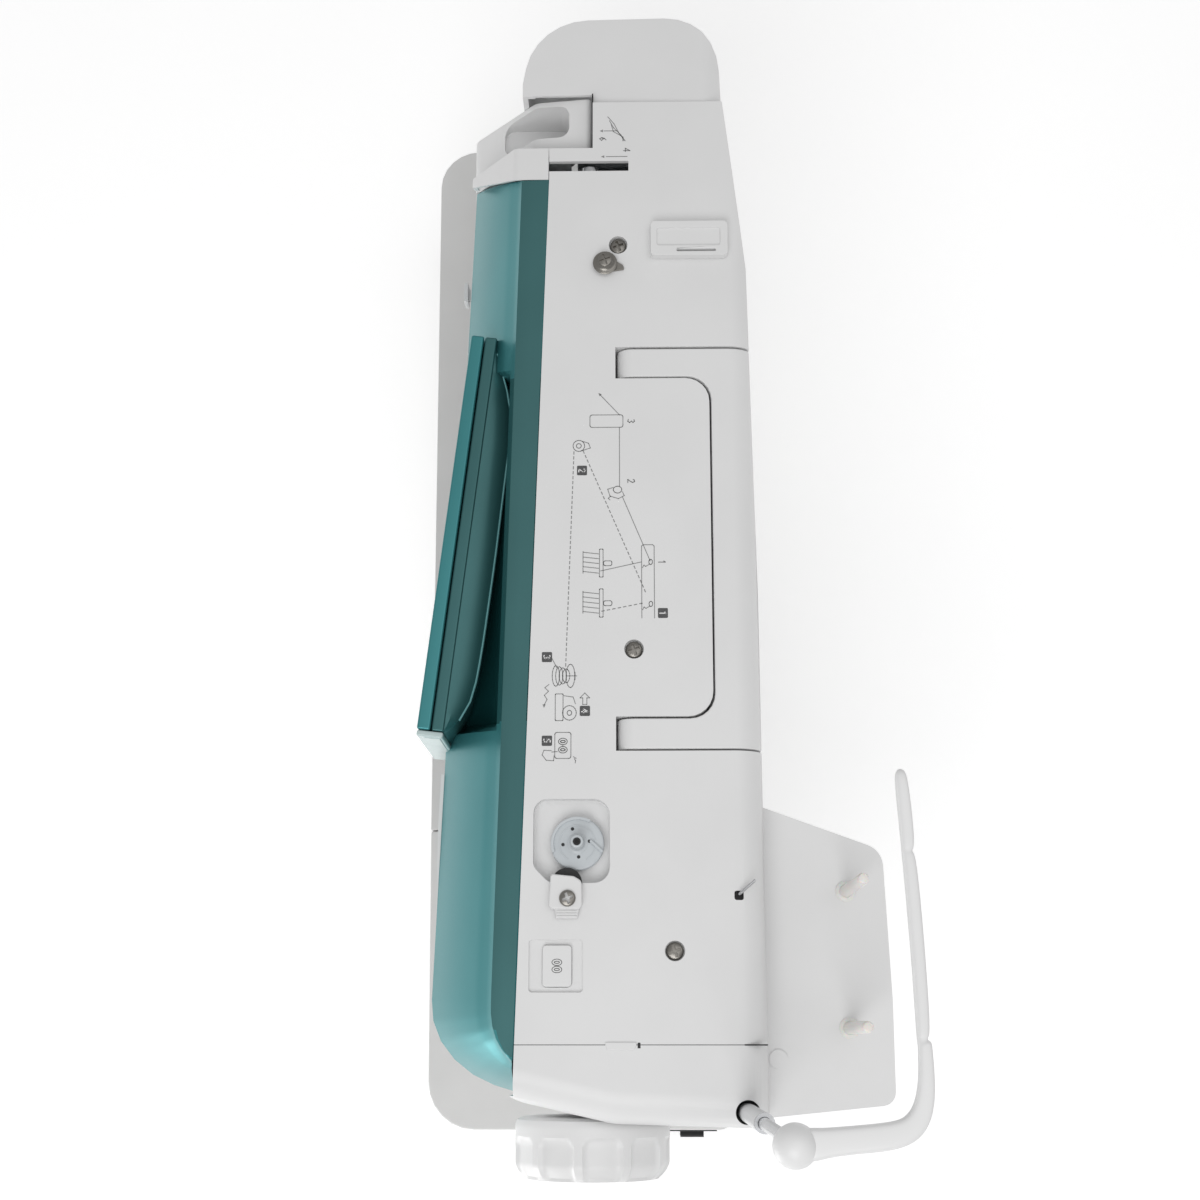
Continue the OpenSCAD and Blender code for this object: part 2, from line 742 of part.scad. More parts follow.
// Outline round two circles, one above the other, in [y, z]
function loop_path(r0, r1, h, n) =
    let (lean = asin((r1 - r0) / h))
    concat(
        [for (i = [0:n]) let (a = -lean + (180 + 2 * lean) * i / n) [r1 * cos(a), h + r1 * sin(a)]],
        [for (i = [0:n]) let (a = 180 + lean + (180 - 2 * lean) * i / n) [r0 * cos(a), r0 * sin(a)]]
    );
belt_t = 1.6;
module drive_belt() {
    color("#202224") translate([pulley_x + 0.5, shaft_y, motor_z]) rotate([90, 0, 90])
    linear_extrude(pulley_w - 1) difference() {
        polygon(loop_path(motor_pulley_d / 2 + 0.4 + belt_t, pulley_d / 2 + 0.4 + belt_t, shaft_z - motor_z, 24));
        polygon(loop_path(motor_pulley_d / 2 + 0.4, pulley_d / 2 + 0.4, shaft_z - motor_z, 24));
    }
}
wheel_x0 = right - wheel_w;
flute_d = 24;
flute_in = 8;
module handwheel() {
    color(white) difference() {
        union() {
            translate([wheel_x0, shaft_y, shaft_z]) rotate([90, 0, 90]) rotate_extrude() polygon(rounded([
                [0, 0, 0], [wheel_d / 2 - 2, 0, 0], [wheel_d / 2, 3, 0], [wheel_d / 2, wheel_w, 5],
                [wheel_d / 2 - 8, wheel_w, 2], [wheel_d / 2 - 11, wheel_w - 5, 2], [0, wheel_w - 5, 0]
            ]));
        }
        for (i = [0:wheel_flutes - 1])
            rotate_about_shaft(360 * i / wheel_flutes)
                rod_x(wheel_x0 + flute_in, right + 1, 0, (wheel_d + flute_d) / 2 - flute_depth, flute_d);
        rod_x(wheel_x0 - 1, wheel_x0 + 8, shaft_y, shaft_z, shaft_d);
    }
}
module rotate_about_shaft(a) {
    translate([0, shaft_y, shaft_z]) rotate([a, 0, 0]) children();
}

// ---- needle, presser and take-up ----
take_up_pivot_y = -20;
take_up_pivot_z = top - 40;
module take_up_lever() {
    color(steel) {
        rod_x(needle_x + 12, slot_x + 1.5, take_up_pivot_y, take_up_pivot_z, 4);
        difference() {
            union() {
                rod_x(slot_x - 1.5, slot_x + 1.5, take_up_pivot_y, take_up_pivot_z, 10);
                block(slot_x - 1.5, slot_x + 1.5, take_up_pivot_y - 3, take_up_pivot_y + 3,
                    take_up_pivot_z, top - 8);
                rod_x(slot_x - 1.5, slot_x + 1.5, take_up_pivot_y, top - 8, 9);
            }
            rod_x(slot_x - 2, slot_x + 2, take_up_pivot_y, top - 8, 3);
        }
    }
}
foot_rest = 0.9;
sole_t = 2;
clamp_h = 10;
clamp_gap = 2.1;
// The clamp stays clear of the foot's sole at the bottom of the stroke
clamp_z = bed_h + foot_rest + sole_t + clamp_gap + needle_stroke + clamp_h;
module needle_bar() {
    color(steel) {
        rod_z(needle_x, shaft_y, clamp_z - 8, top - 16, needle_bar_d);
        rod_z(needle_x, shaft_y, clamp_z - clamp_h, clamp_z + 2, 11);
        rod_x(needle_x, needle_x + 14, shaft_y, clamp_z - 5, 3);
        rod_x(needle_x + 9, needle_x + 14, shaft_y, clamp_z - 5, 8);
    }
}
needle_tip = clamp_z - 38;
module needle() {
    color("#d5d8da") {
        rod_z(needle_x, shaft_y, clamp_z - 2 * clamp_h, clamp_z - clamp_h, 2);
        translate([needle_x, shaft_y, needle_tip]) cylinder(d1 = 0.4, d2 = 1.1, h = 6);
        rod_z(needle_x, shaft_y, needle_tip + 6, clamp_z - 2 * clamp_h, 1.1);
    }
}
module presser_bar() {
    color(steel) rod_z(needle_x, presser_y, bed_h + 30, top - 22, presser_bar_d);
}
module presser_foot() {
    color(steel) {
        // Shank, ankle and the sole with its toes
        difference() {
            block(needle_x - 5, needle_x + 5, presser_y - 4.5, presser_y + 4.5, bed_h + 20, bed_h + 36);
            rod_z(needle_x, presser_y, bed_h + 30, bed_h + 37, presser_bar_d);
        }
        block(needle_x - 2, needle_x + 2, presser_y - 4.5, presser_y + 1, bed_h + 4, bed_h + 20);
        difference() {
            slab(box_path(needle_x - 12, needle_x + 12, cover_y1 + 0.5, presser_y + 6, 3),
                bed_h + foot_rest, bed_h + foot_rest + sole_t);
            block(needle_x - 4.5, needle_x + 4.5, shaft_y - 15, shaft_y + 3, bed_h, bed_h + 4);
        }
        block(needle_x - 4, needle_x + 4, presser_y - 4.5, presser_y + 1, bed_h + foot_rest + 1, bed_h + 5);
    }
}
lever_y = 19;
lever_z = head_z + 18;
module presser_lever() {
    color("#cfd1d2") {
        rod_x(needle_x - 4.5, needle_x + 4.5, lever_y, lever_z, 9);
        along_x([
            [lever_y - 4.5, lever_z, 0], [lever_y - 3.5, head_z - 12, 3], [lever_y + 30, head_z - 17, 2],
            [lever_y + 30, head_z - 12, 2], [lever_y + 5, head_z - 6, 4], [lever_y + 4.5, lever_z, 0]
        ], needle_x - 4, needle_x + 4);
    }
}
module tension_unit() {
    color(steel) {
        rod_x(needle_x + 32, needle_x + 46, -50, top - 36, 5);
        for (i = [0:3]) rod_x(needle_x + 33 + 3 * i, needle_x + 35 + 3 * i, -50, top - 36, 20);
    }
}
lens_x0 = needle_x + 25;
lens_x1 = needle_x + 41;
lens_y0 = -34;
lens_y1 = -4;
module lamp_lens() {
    color("#f4f6f2") block(lens_x0, lens_x1, lens_y0, lens_y1, head_z, head_z + wall);
}

// ---- controls ----
// Front buttons: [x, z, diameter]
front_buttons = [
    [needle_x + 33, head_z + 16, 16], [needle_x + 15, head_z + 16, 11],
    [needle_x + 15, head_z + 34, 11], [needle_x + 33, head_z + 34, 11]
];
module front_button(i, colour) {
    b = front_buttons[i];
    face = body_front + 15.5 - (b[0] - face_seam) * 0.042;
    color(colour) {
        rod_y(b[0], face - 1.6, face + 6, b[1], b[2]);
        rod_y(b[0], face + 4, face + 6, b[1], b[2] + 3);
    }
}
module start_stop_button() { front_button(0, "#4f8a8c"); }
module reverse_button() { front_button(1, "#c9cccd"); }
module needle_position_button() { front_button(2, "#c9cccd"); }
module thread_cutter_button() { front_button(3, "#c9cccd"); }
slider_x = left + 142;
slider_z = throat_top + 9;
slider_travel = 28;
module speed_slider() {
    face = body_front + 15.5 - (slider_x - face_seam) * 0.042;
    color("#c9cccd") {
        block(slider_x - 5, slider_x + 5, face - 4.2, face - 2.2, slider_z - 5, slider_z + 5);
        block(slider_x - 3, slider_x + 3, face - 3, face + 6, slider_z - 1.2, slider_z + 1.2);
    }
}
module power_inlet() {
    color("#1d1e20") difference() {
        block(bed_right - 16, bed_right, inlet_y - 10.6, inlet_y + 10.6, inlet_z - 27.6, inlet_z + 27.6);
        block(bed_right - 12, bed_right + 1, inlet_y - 8, inlet_y + 8, inlet_z - 24, inlet_z);
        block(bed_right - 10, bed_right + 1, inlet_y - 7, inlet_y + 7, inlet_z + 4, inlet_z + 24);
        rod_y(rocker_x, inlet_y - 9, inlet_y + 9, switch_z, rocker_pin_d + 2 * shaft_fit);
    }
    color("#1d1e20") difference() {
        block(bed_right, bed_right + 2, inlet_y - 13, inlet_y + 13, inlet_z - 30, inlet_z + 30);
        block(bed_right - 1, bed_right + 3, inlet_y - 8, inlet_y + 8, inlet_z - 24, inlet_z);
        block(bed_right - 1, bed_right + 3, inlet_y - 7, inlet_y + 7, inlet_z + 4, inlet_z + 24);
    }
}
switch_z = inlet_z + 14;
rocker_x = bed_right - 3;
rocker_pin_d = 3;
module power_switch() {
    color("#141516") {
        translate([rocker_x, inlet_y, switch_z]) rotate([90, 0, 0])
        translate([0, 0, -6.2]) linear_extrude(12.4) polygon(rounded([
            [-3, -7, 1], [8.6, -8.7, 1], [6.8, 0, 8], [8.6, 8.7, 1], [-3, 7, 1]
        ]));
        rod_y(rocker_x, inlet_y - 8.6, inlet_y + 8.6, switch_z, rocker_pin_d);
    }
}
module circuit_board() {
    color("#1f6b45") block(column_left + 10, post_x, 44, 45.6, bed_h + 12, throat_top);
    color("#222222") for (i = [0:2])
        block(column_left + 18 + 26 * i, column_left + 34 + 26 * i, 39, 44, bed_h + 30, bed_h + 50);
}

// ---- screen pod, in its own frame: x along the pod, y back from its front face ----
screen_place = [-103, -73];
screen_z0 = top - 12 - screen_h;
screen_z1 = top - 12;
module in_screen() {
    translate([screen_place[0], screen_place[1], 0]) rotate([0, 0, -screen_turn]) children();
}
cap_w = 12;
glass_m = 7;
module screen_bezel() {
    color(teal) in_screen() difference() {
        slab(box_path(0, screen_w - cap_w - seam, 0, bezel_t, 1.5), screen_z0, screen_z1);
        block(glass_m, screen_w - cap_w - glass_m, -1, 2, screen_z0 + glass_m, screen_z1 - glass_m);
    }
}
module screen_glass() {
    color("#101416") in_screen()
        block(glass_m + 0.2, screen_w - cap_w - glass_m - 0.2, 0.4, 2, screen_z0 + glass_m + 0.2,
            screen_z1 - glass_m - 0.2);
}
module screen_end_cap() {
    color("#9fb0b0") in_screen()
        slab(box_path(screen_w - cap_w, screen_w, 0, 2 * bezel_t + seam, 1.5), screen_z0, screen_z1);
}
// Opening that the pod stands in, through the front cover and the teal panel
module screen_room() {
    in_screen() block(-seam, screen_w + seam, -big, 2 * bezel_t + 2 * seam, 0, screen_z1 + seam);
}
module screen_rear_shell() {
    color(dark_teal) {
        in_screen() slab(box_path(0, screen_w - cap_w - seam, bezel_t + seam, 2 * bezel_t + seam, 1.5),
            screen_z0, screen_z1 - 1);
        // Bulge that joins the pod to the teal panel
        difference() {
            in_screen() slab([
                [40, 2 * bezel_t, 0], [screen_w - cap_w - seam, 2 * bezel_t, 0],
                [screen_w - cap_w - seam, 2 * bezel_t + 3, 0], [62, 44, 30]
            ], screen_z0 + 14, screen_z1 - 4);
            translate([0, -0.2, 0]) intersection() {
                along_x(body_profile(0), face_seam, right);
                slab(body_plan, 0, top + 1);
            }
        }
    }
}

// ---- fittings on top ----
box_x = left + 134.5;
module thread_guide_box() {
    color(white) difference() {
        slab(box_path(box_x, box_x + 17, 8, 43.5, 2), top, top + 5);
        slab(box_path(box_x + 3.5, box_x + 12, 11, 40, 1), top + 4, top + 6);
        block(box_x + 14, box_x + 15, 20, 38, top + 2, top + 6);
    }
}
pretension_x = left + 153.9;
module pretension_disc() {
    color(steel) {
        rod_z(pretension_x, -12.9, top, top + 2, 6);
        translate([pretension_x, -12.9, top + 2]) cylinder(d1 = 11, d2 = 8.5, h = 1.2);
        rod_z(pretension_x, -12.9, top + 3, top + 5.5, 7);
        block(pretension_x - 1, pretension_x + 4, -11, -5, top, top + 1.2);
    }
}
wire_x = right - 120;
wire_y = 45;
module wire_guide() {
    color(steel) {
        rod_z(wire_x + 1, wire_y - 1, top - 6, top + 3, 1.2);
        translate([wire_x + 1, wire_y - 1, top + 3]) rotate([0, -80, 60]) translate([0, 0, -0.6])
            cylinder(d = 1.2, h = 9);
    }
}
module cover_screws() {
    color(steel) for (p = screw_places) {
        difference() {
            rod_z(p[0], p[1], top - 3, top - 1, screw_head_d);
            for (a = [0, 90]) translate([p[0], p[1], top - 1.6]) rotate([0, 0, a])
                translate([-2.4, -0.5, 0]) cube([4.8, 1, 2]);
        }
        rod_z(p[0], p[1], top - 14, top - 2, 3);
    }
}
module spool_platform() {
    color(white) {
        difference() {
            slab([
                [column_left + 3, body_back + 0.2, 0], [right - 26.5, body_back + 0.2, 0],
                [right - 32, back, 6], [right - 76, back, 0], [column_left + 22, back - 2.5, 10]
            ], platform_z - 16, platform_z);
            slab([
                [column_left + 8, body_back + 3, 0], [right - 30.5, body_back + 3, 0],
                [right - 35, back - 3, 5], [right - 76, back - 3, 0], [column_left + 24.5, back - 5.5, 8]
            ], platform_z - 17, platform_z - 3);
        }
        rod_z(right - 51, body_back + 5, platform_z - 0.1, platform_z + 0.8, 8);
    }
}
module spool_pins() {
    color("#eceae6") for (i = [0:1]) {
        rod_z(pin_x + i * pin_gap, pin_y, platform_z, platform_z + pin_h, pin_d);
        rod_z(pin_x + i * pin_gap, pin_y, platform_z, platform_z + 1.2, 9);
    }
}
module carry_handle() {
    color(white) {
        difference() {
            intersection() {
                body_outer();
                handle_plan(0, top - handle_t, top, big);
            }
            block(-big, big, -big, handle_y, top - handle_t - 1, top + 1);
        }
        for (x = [handle_x0, handle_x1 - handle_arm_w])
            rod_x(x, x + handle_arm_w, handle_y, handle_z, handle_t);
        for (x = [handle_x0 - handle_gap - wall + 0.2, handle_x1 - 1])
            rod_x(x, x + handle_gap + wall + 0.8, handle_y, handle_z, pivot_d);
    }
}
module winder_spindle() {
    color("#c4c7c8") {
        rod_z(winder_x, winder_y, top - 26, top - 4, winder_shaft_d);
        rod_z(winder_x, winder_y, top - recess_drop + 0.6, top - 1.5, winder_seat_d);
        rod_z(winder_x, winder_y, top - 2, top + 8, 5.8);
        rod_z(winder_x, winder_y, top - 26, top - 20, 14);
    }
}
module winder_stopper() {
    color(white) {
        slab(box_path(stopper_x - 3, stopper_x + 8, stopper_y - stopper_w / 2, stopper_y + stopper_w / 2, 4),
            top + 0.3, top + 6);
        block(stopper_x - 2.5, stopper_x + 2.5, stopper_y - 2, stopper_y + 2, top - 10, top + 1);
    }
}
module winder_button() {
    color(white) {
        slab(box_path(button_x - 8.3, button_x + 8.3, button_y - 5.8, button_y + 5.8, 2), top - 7, top + 0.4);
        block(button_x - 10, button_x + 10, button_y - 5.8, button_y + 5.8, top - 8, top - 6.5);
    }
}
socket_z = top - 130;
module mast_socket() {
    color("#2a2c2e") difference() {
        rod_z(mast_x, mast_y, socket_z, top - end_r + 1, socket_d);
        rod_z(mast_x, mast_y, socket_z - 1, top, socket_bore);
    }
}
tube_top = top + tube_travel + 4;
tube_low = socket_z + tube_travel - 1;
module mast_tube() {
    color(steel) difference() {
        rod_z(mast_x, mast_y, tube_low, tube_top, mast_d);
        rod_z(mast_x, mast_y, tube_low - 1, tube_top + 1, tube_bore);
    }
}
// The raised rod keeps this much inside the tube, and the arm stops this far above it
rod_grip = 14;
arm_gap = 11;
guide_z = tube_top + rod_travel + arm_gap;
guide_y = back - 26.5;
guide_left = right - 142;
module mast_arm() {
    color(white) {
        rod_z(mast_x, mast_y, tube_top - rod_grip, guide_z, rod_d);
        translate([mast_x, mast_y + 2, guide_z]) sphere(d = 15);
        slab([
            [mast_x - 4, mast_y, 0], [mast_x + 4, mast_y, 0], [mast_x + 1, guide_y + 4, 9],
            [guide_left, guide_y + 4, 4], [guide_left, guide_y - 4, 4], [mast_x - 8, guide_y - 4, 3]
        ], guide_z - 4, guide_z + 3);
    }
}

base_plate();
rubber_feet();
base_shell();
free_arm_cover();
needle_plate();
chassis();
front_cover();
rear_cover();
top_cover();
front_panel();
head_nose();
face_cover();
end_cover();
spool_platform();
spool_pins();
screen_bezel();
screen_rear_shell();
screen_glass();
screen_end_cap();
thread_guide_box();
pretension_disc();
wire_guide();
cover_screws();
mast_socket();
motor();
circuit_board();
power_inlet();
lamp_lens();
tension_unit();
bobbin_holder();
drive_belt();
shaft_bushes();
handwheel();
upper_shaft();
motor_pulley();
take_up_lever();
needle_bar();
needle();
presser_bar();
presser_foot();
presser_lever();
feed_dogs();
rotary_hook();
bobbin();
bobbin_cover();
extension_table();
carry_handle();
winder_spindle();
winder_stopper();
winder_button();
mast_tube();
mast_arm();
start_stop_button();
reverse_button();
needle_position_button();
thread_cutter_button();
speed_slider();
power_switch();
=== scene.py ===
# %% [markdown]
# # A free-arm sewing machine, finished in Blender
# The solids come packed from the CAD step: every cover, shaft and button already has its true
# size and place. This lesson gives them what moulded and pressed parts really have: rounded
# edges, parting lines, lacquer, brushed steel, screws and the printed threading diagram.
# All lengths below are written in millimetres and turned to metres by one factor.

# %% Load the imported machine
import json
import math
import bpy
import bmesh
from mathutils import Matrix, Vector


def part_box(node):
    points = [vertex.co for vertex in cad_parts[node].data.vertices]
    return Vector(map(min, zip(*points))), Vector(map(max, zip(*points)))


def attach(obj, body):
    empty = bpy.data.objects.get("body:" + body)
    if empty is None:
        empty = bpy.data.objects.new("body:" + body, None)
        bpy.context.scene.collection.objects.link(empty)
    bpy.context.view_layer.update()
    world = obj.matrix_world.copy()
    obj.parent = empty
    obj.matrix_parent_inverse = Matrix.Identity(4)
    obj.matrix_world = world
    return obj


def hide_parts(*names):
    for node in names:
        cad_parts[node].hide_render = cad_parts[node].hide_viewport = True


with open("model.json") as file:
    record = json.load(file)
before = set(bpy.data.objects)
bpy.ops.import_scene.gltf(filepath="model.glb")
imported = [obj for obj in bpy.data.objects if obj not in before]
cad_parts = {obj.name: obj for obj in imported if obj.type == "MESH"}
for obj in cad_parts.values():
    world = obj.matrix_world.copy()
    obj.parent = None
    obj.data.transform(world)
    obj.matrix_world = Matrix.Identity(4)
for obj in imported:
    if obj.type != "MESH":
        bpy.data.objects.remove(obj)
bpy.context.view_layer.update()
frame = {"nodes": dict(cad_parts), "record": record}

MM = 0.001
nodes = frame["nodes"]
body_of_node = {n: b for b, ns in frame["record"]["behaviour"]["bodies"].items() for n in ns}
slot_of_node = {s["node"]: s["material_slot"] for s in frame["record"]["subparts"]}

# %% [markdown]
# ## Small tools
# Three kinds of helper are enough for the whole machine: one that makes a mesh from points in
# millimetres, one that bakes modifiers into the mesh, and one that hands a finished piece to the
# frame. Baking keeps every finished piece a plain mesh at the origin.

# %% Mesh helpers
def piece_from(name, points, faces):
    """A new object from points in millimetres; edges sharper than 30 degrees stay crisp."""
    mesh = bpy.data.meshes.new(name)
    mesh.from_pydata([Vector(p) * MM for p in points], [], faces)
    mesh.validate()
    obj = bpy.data.objects.new(name, mesh)
    bpy.context.scene.collection.objects.link(obj)
    return shade(obj, 30)


def shade(obj, angle):
    obj.data.polygons.foreach_set("use_smooth", [True] * len(obj.data.polygons))
    obj.data.set_sharp_from_angle(angle=math.radians(angle))
    return obj


def bake(obj):
    """Turns the modifiers of a piece into its plain mesh."""
    bpy.context.view_layer.update()
    evaluated = obj.evaluated_get(bpy.context.evaluated_depsgraph_get())
    mesh = bpy.data.meshes.new_from_object(evaluated)
    obj.modifiers.clear()
    obj.data = mesh
    return obj


def outward(obj):
    """Merges doubles and points every face of a closed mesh outwards."""
    edit = bmesh.new()
    edit.from_mesh(obj.data)
    bmesh.ops.remove_doubles(edit, verts=edit.verts, dist=0.002 * MM)
    bmesh.ops.recalc_face_normals(edit, faces=edit.faces)
    edit.to_mesh(obj.data)
    edit.free()
    return obj


def soften(obj, width, segments=2):
    """Rounds the edges of a piece as its mould does."""
    round_over = obj.modifiers.new("mould radius", "BEVEL")
    round_over.width = width * MM
    round_over.segments = segments
    round_over.limit_method = "ANGLE"
    round_over.angle_limit = math.radians(32)
    round_over.use_clamp_overlap = True
    round_over.miter_outer = "MITER_ARC"
    bake(obj)
    return even_light(obj)


def even_light(obj):
    """Weights the normals by area, so that a flat beside a radius stays flat."""
    shade(obj, 40)
    weighted = obj.modifiers.new("normals by area", "WEIGHTED_NORMAL")
    weighted.weight, weighted.keep_sharp = 100, True
    return bake(obj)


def join(name, pieces):
    """Several meshes made one object, for pieces that are one moulding or one print."""
    edit = bmesh.new()
    for piece in pieces:
        edit.from_mesh(piece.data)
    mesh = bpy.data.meshes.new(name)
    edit.to_mesh(mesh)
    edit.free()
    for piece in pieces:
        bpy.data.objects.remove(piece)
    obj = bpy.data.objects.new(name, mesh)
    bpy.context.scene.collection.objects.link(obj)
    return even_light(obj)


def hand_over(obj, body, material, *cad_nodes, slot=None):
    """Gives a finished piece its material and its body, and hides the CAD nodes that it stands for."""
    obj.data.materials.clear()
    obj.data.materials.append(material)
    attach(obj, body)
    if cad_nodes:
        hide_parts(*cad_nodes)
    return obj


# %% Outline helpers
def rounded(path, steps=6):
    """Outline through points (x, y, radius), each corner rounded."""
    out = []
    for i, (x, y, r) in enumerate(path):
        here = Vector((x, y))
        before = Vector(path[i - 1][:2])
        after = Vector(path[(i + 1) % len(path)][:2])
        if r <= 0:
            out.append(here)
            continue
        u, v = (before - here).normalized(), (after - here).normalized()
        half = u.angle(v) / 2
        centre = here + (u + v).normalized() * (r / math.sin(half))
        p = here + u * (r / math.tan(half)) - centre
        q = here + v * (r / math.tan(half)) - centre
        start = math.atan2(p.y, p.x)
        sweep = math.atan2(q.y, q.x) - start
        sweep = (sweep + math.pi) % math.tau - math.pi
        turns = (start + sweep * k / steps for k in range(steps + 1))
        out += [centre + r * Vector((math.cos(a), math.sin(a))) for a in turns]
    return out


def box_path(x0, x1, y0, y1, r, steps=3):
    """Outline of a rectangle with rounded corners."""
    return rounded([(x0, y0, r), (x1, y0, r), (x1, y1, r), (x0, y1, r)], steps)


def arc(centre, rx, ry, start, end, steps):
    """Points round a centre, from one angle to another in degrees."""
    turns = (math.radians(lerp(start, end, k / steps)) for k in range(steps + 1))
    return [(centre[0] + rx * math.cos(a), centre[1] + ry * math.sin(a)) for a in turns]


def prism(name, outline, z0, z1):
    """A closed prism over a flat outline."""
    n = len(outline)
    points = [(p[0], p[1], z0) for p in outline] + [(p[0], p[1], z1) for p in outline]
    sides = [(i, (i + 1) % n, n + (i + 1) % n, n + i) for i in range(n)]
    return outward(piece_from(name, points, sides + [tuple(range(n)), tuple(range(n, 2 * n))]))


def loft(name, rings, smooth=30):
    """A closed skin through rings that hold the same number of points."""
    n = len(rings[0])
    points = [p for ring in rings for p in ring]
    faces = []
    for r in range(len(rings) - 1):
        for i in range(n):
            j = (i + 1) % n
            faces.append((r * n + i, r * n + j, (r + 1) * n + j, (r + 1) * n + i))
    faces += [tuple(range(n)), tuple(range((len(rings) - 1) * n, len(rings) * n))]
    return shade(outward(piece_from(name, points, faces)), smooth)


def lathe(name, profile, centre, segments=48):
    """A turned part: its profile of (radius, height above the centre) about a vertical axis."""
    x, y, base = centre
    turns = [math.tau * k / segments for k in range(segments)]
    rings = [[(x + r * math.cos(a), y + r * math.sin(a), base + z) for a in turns] for r, z in profile]
    return loft(name, rings)


def box_mesh(name, low, high):
    """A plain box between two corners."""
    (x0, y0, z0), (x1, y1, z1) = low, high
    return prism(name, [(x0, y0), (x1, y0), (x1, y1), (x0, y1)], z0, z1)


def tube(name, path, radius, segments):
    """A round bar along a path of points."""
    line = [Vector(p) for p in path]
    rings = []
    side = None
    turns = [math.tau * k / segments for k in range(segments)]
    for i, here in enumerate(line):
        along = (line[min(i + 1, len(line) - 1)] - line[max(i - 1, 0)]).normalized()
        if side is None:
            side = along.orthogonal().normalized()
        side = (side - along * side.dot(along)).normalized()
        up = along.cross(side)
        rings.append([here + radius * (math.cos(a) * side + math.sin(a) * up) for a in turns])
    return loft(name, rings)


def lerp(a, b, t):
    return a + (b - a) * t


def along_line(stations, t):
    """Value at t in 0..1 along a list of equally spaced stations."""
    f = t * (len(stations) - 1)
    i = min(int(f), len(stations) - 2)
    return lerp(Vector(stations[i]), Vector(stations[i + 1]), f - i)


# %% [markdown]
# ## Materials
# Every finish starts from what the real one is. ABS covers are spark-eroded in the mould, which
# leaves a very fine even texture and a soft highlight. The front panel is ABS with a metallic
# lacquer: tiny flakes under a clear coat. One function adds a node with its settings and links,
# and each material is a short list of such nodes.

# %% Node helper and colour helper
def linear(hex_code):
    """sRGB hex to linear red, green, blue."""
    channels = [int(hex_code[i:i + 2], 16) / 255 for i in (1, 3, 5)]
    return (*(c / 12.92 if c <= 0.04045 else ((c + 0.055) / 1.055) ** 2.4 for c in channels), 1.0)


def add(tree, kind, settings=None, links=None, **inputs):
    """One node: its own settings, plain values by socket name, and links into its sockets."""
    node = tree.nodes.new(kind)
    for key, value in (settings or {}).items():
        setattr(node, key, value)
    for key, value in inputs.items():
        node.inputs[key.replace("_", " ")].default_value = value
    for key, source in (links or {}).items():
        tree.links.new(source, node.inputs[key])
    return node


def finish(name):
    """An empty node material with its shader; returns the material, the tree and the shader."""
    material = bpy.data.materials.new(name)
    material.use_nodes = True
    shader = material.node_tree.nodes["Principled BSDF"]
    return material, material.node_tree, shader


def place_of(tree):
    return add(tree, "ShaderNodeTexCoord").outputs["Object"]


def mottled(tree, shader, dark, light, scale):
    """Colour that drifts between two tones in patches; the scale is in patches per metre."""
    noise = add(tree, "ShaderNodeTexNoise", links={"Vector": place_of(tree)}, Scale=scale, Detail=3.0)
    ramp = add(tree, "ShaderNodeValToRGB", links={"Fac": noise.outputs["Fac"]})
    for stop, position, tone in zip(ramp.color_ramp.elements, (0.32, 0.68), (dark, light)):
        stop.position, stop.color = position, linear(tone)
    tree.links.new(ramp.outputs["Color"], shader.inputs["Base Color"])
    return noise


def textured(tree, shader, grain_mm, height_mm, strength):
    """Fine surface relief of the given grain size and height."""
    grain = add(tree, "ShaderNodeTexNoise", links={"Vector": place_of(tree)},
                Scale=1000 / grain_mm, Detail=2.0)
    bump = add(tree, "ShaderNodeBump", links={"Height": grain.outputs["Fac"]},
               Strength=strength, Distance=height_mm * MM)
    tree.links.new(bump.outputs["Normal"], shader.inputs["Normal"])
    return grain


def roughness_between(tree, shader, source, low, high):
    spread = add(tree, "ShaderNodeMapRange", links={"Value": source.outputs["Fac"]},
                 To_Min=low, To_Max=high)
    tree.links.new(spread.outputs["Result"], shader.inputs["Roughness"])


# %% Moulded plastics
def moulded_abs(name, dark, light, rough=(0.36, 0.46), ior=1.53):
    """ABS from a spark-eroded mould. The real grain is about 0.05 mm; it is drawn near 1 mm so
    that it can show, and stays so low that it only breaks up the highlight."""
    material, tree, shader = finish(name)
    mottled(tree, shader, dark, light, 28)
    relief = textured(tree, shader, 1.1, 0.012, 0.35)
    roughness_between(tree, shader, relief, *rough)
    shader.inputs["IOR"].default_value = ior
    return material


white_abs = moulded_abs("satin_white_abs_cover", "#E1E1E1", "#E4E4E4")
bed_abs = moulded_abs("satin_grey_white_abs_bed", "#D6D6D5", "#DADAD9", rough=(0.42, 0.52))
key_abs = moulded_abs("matt_grey_abs_key", "#C6C9CA", "#CBCECF", rough=(0.4, 0.5))
acetal = moulded_abs("natural_acetal_spool_pin", "#E3E1DC", "#EBE9E5", rough=(0.25, 0.34), ior=1.48)
# Acetal lets a little light in, about 3 mm deep
for socket, value in (("Subsurface Weight", 0.25), ("Subsurface Scale", 3 * MM)):
    acetal.node_tree.nodes["Principled BSDF"].inputs[socket].default_value = value
black_nylon = moulded_abs("black_glass_filled_nylon", "#141516", "#1E1F20", rough=(0.42, 0.55))
winder_plastic = moulded_abs("pale_blue_grey_acetal_winder", "#BFC5C9", "#C8CDD0", rough=(0.28, 0.38))
smoke_cap = moulded_abs("smoked_polycarbonate_end_cap", "#A9BBBB", "#BCCDCC", (0.2, 0.28), 1.585)


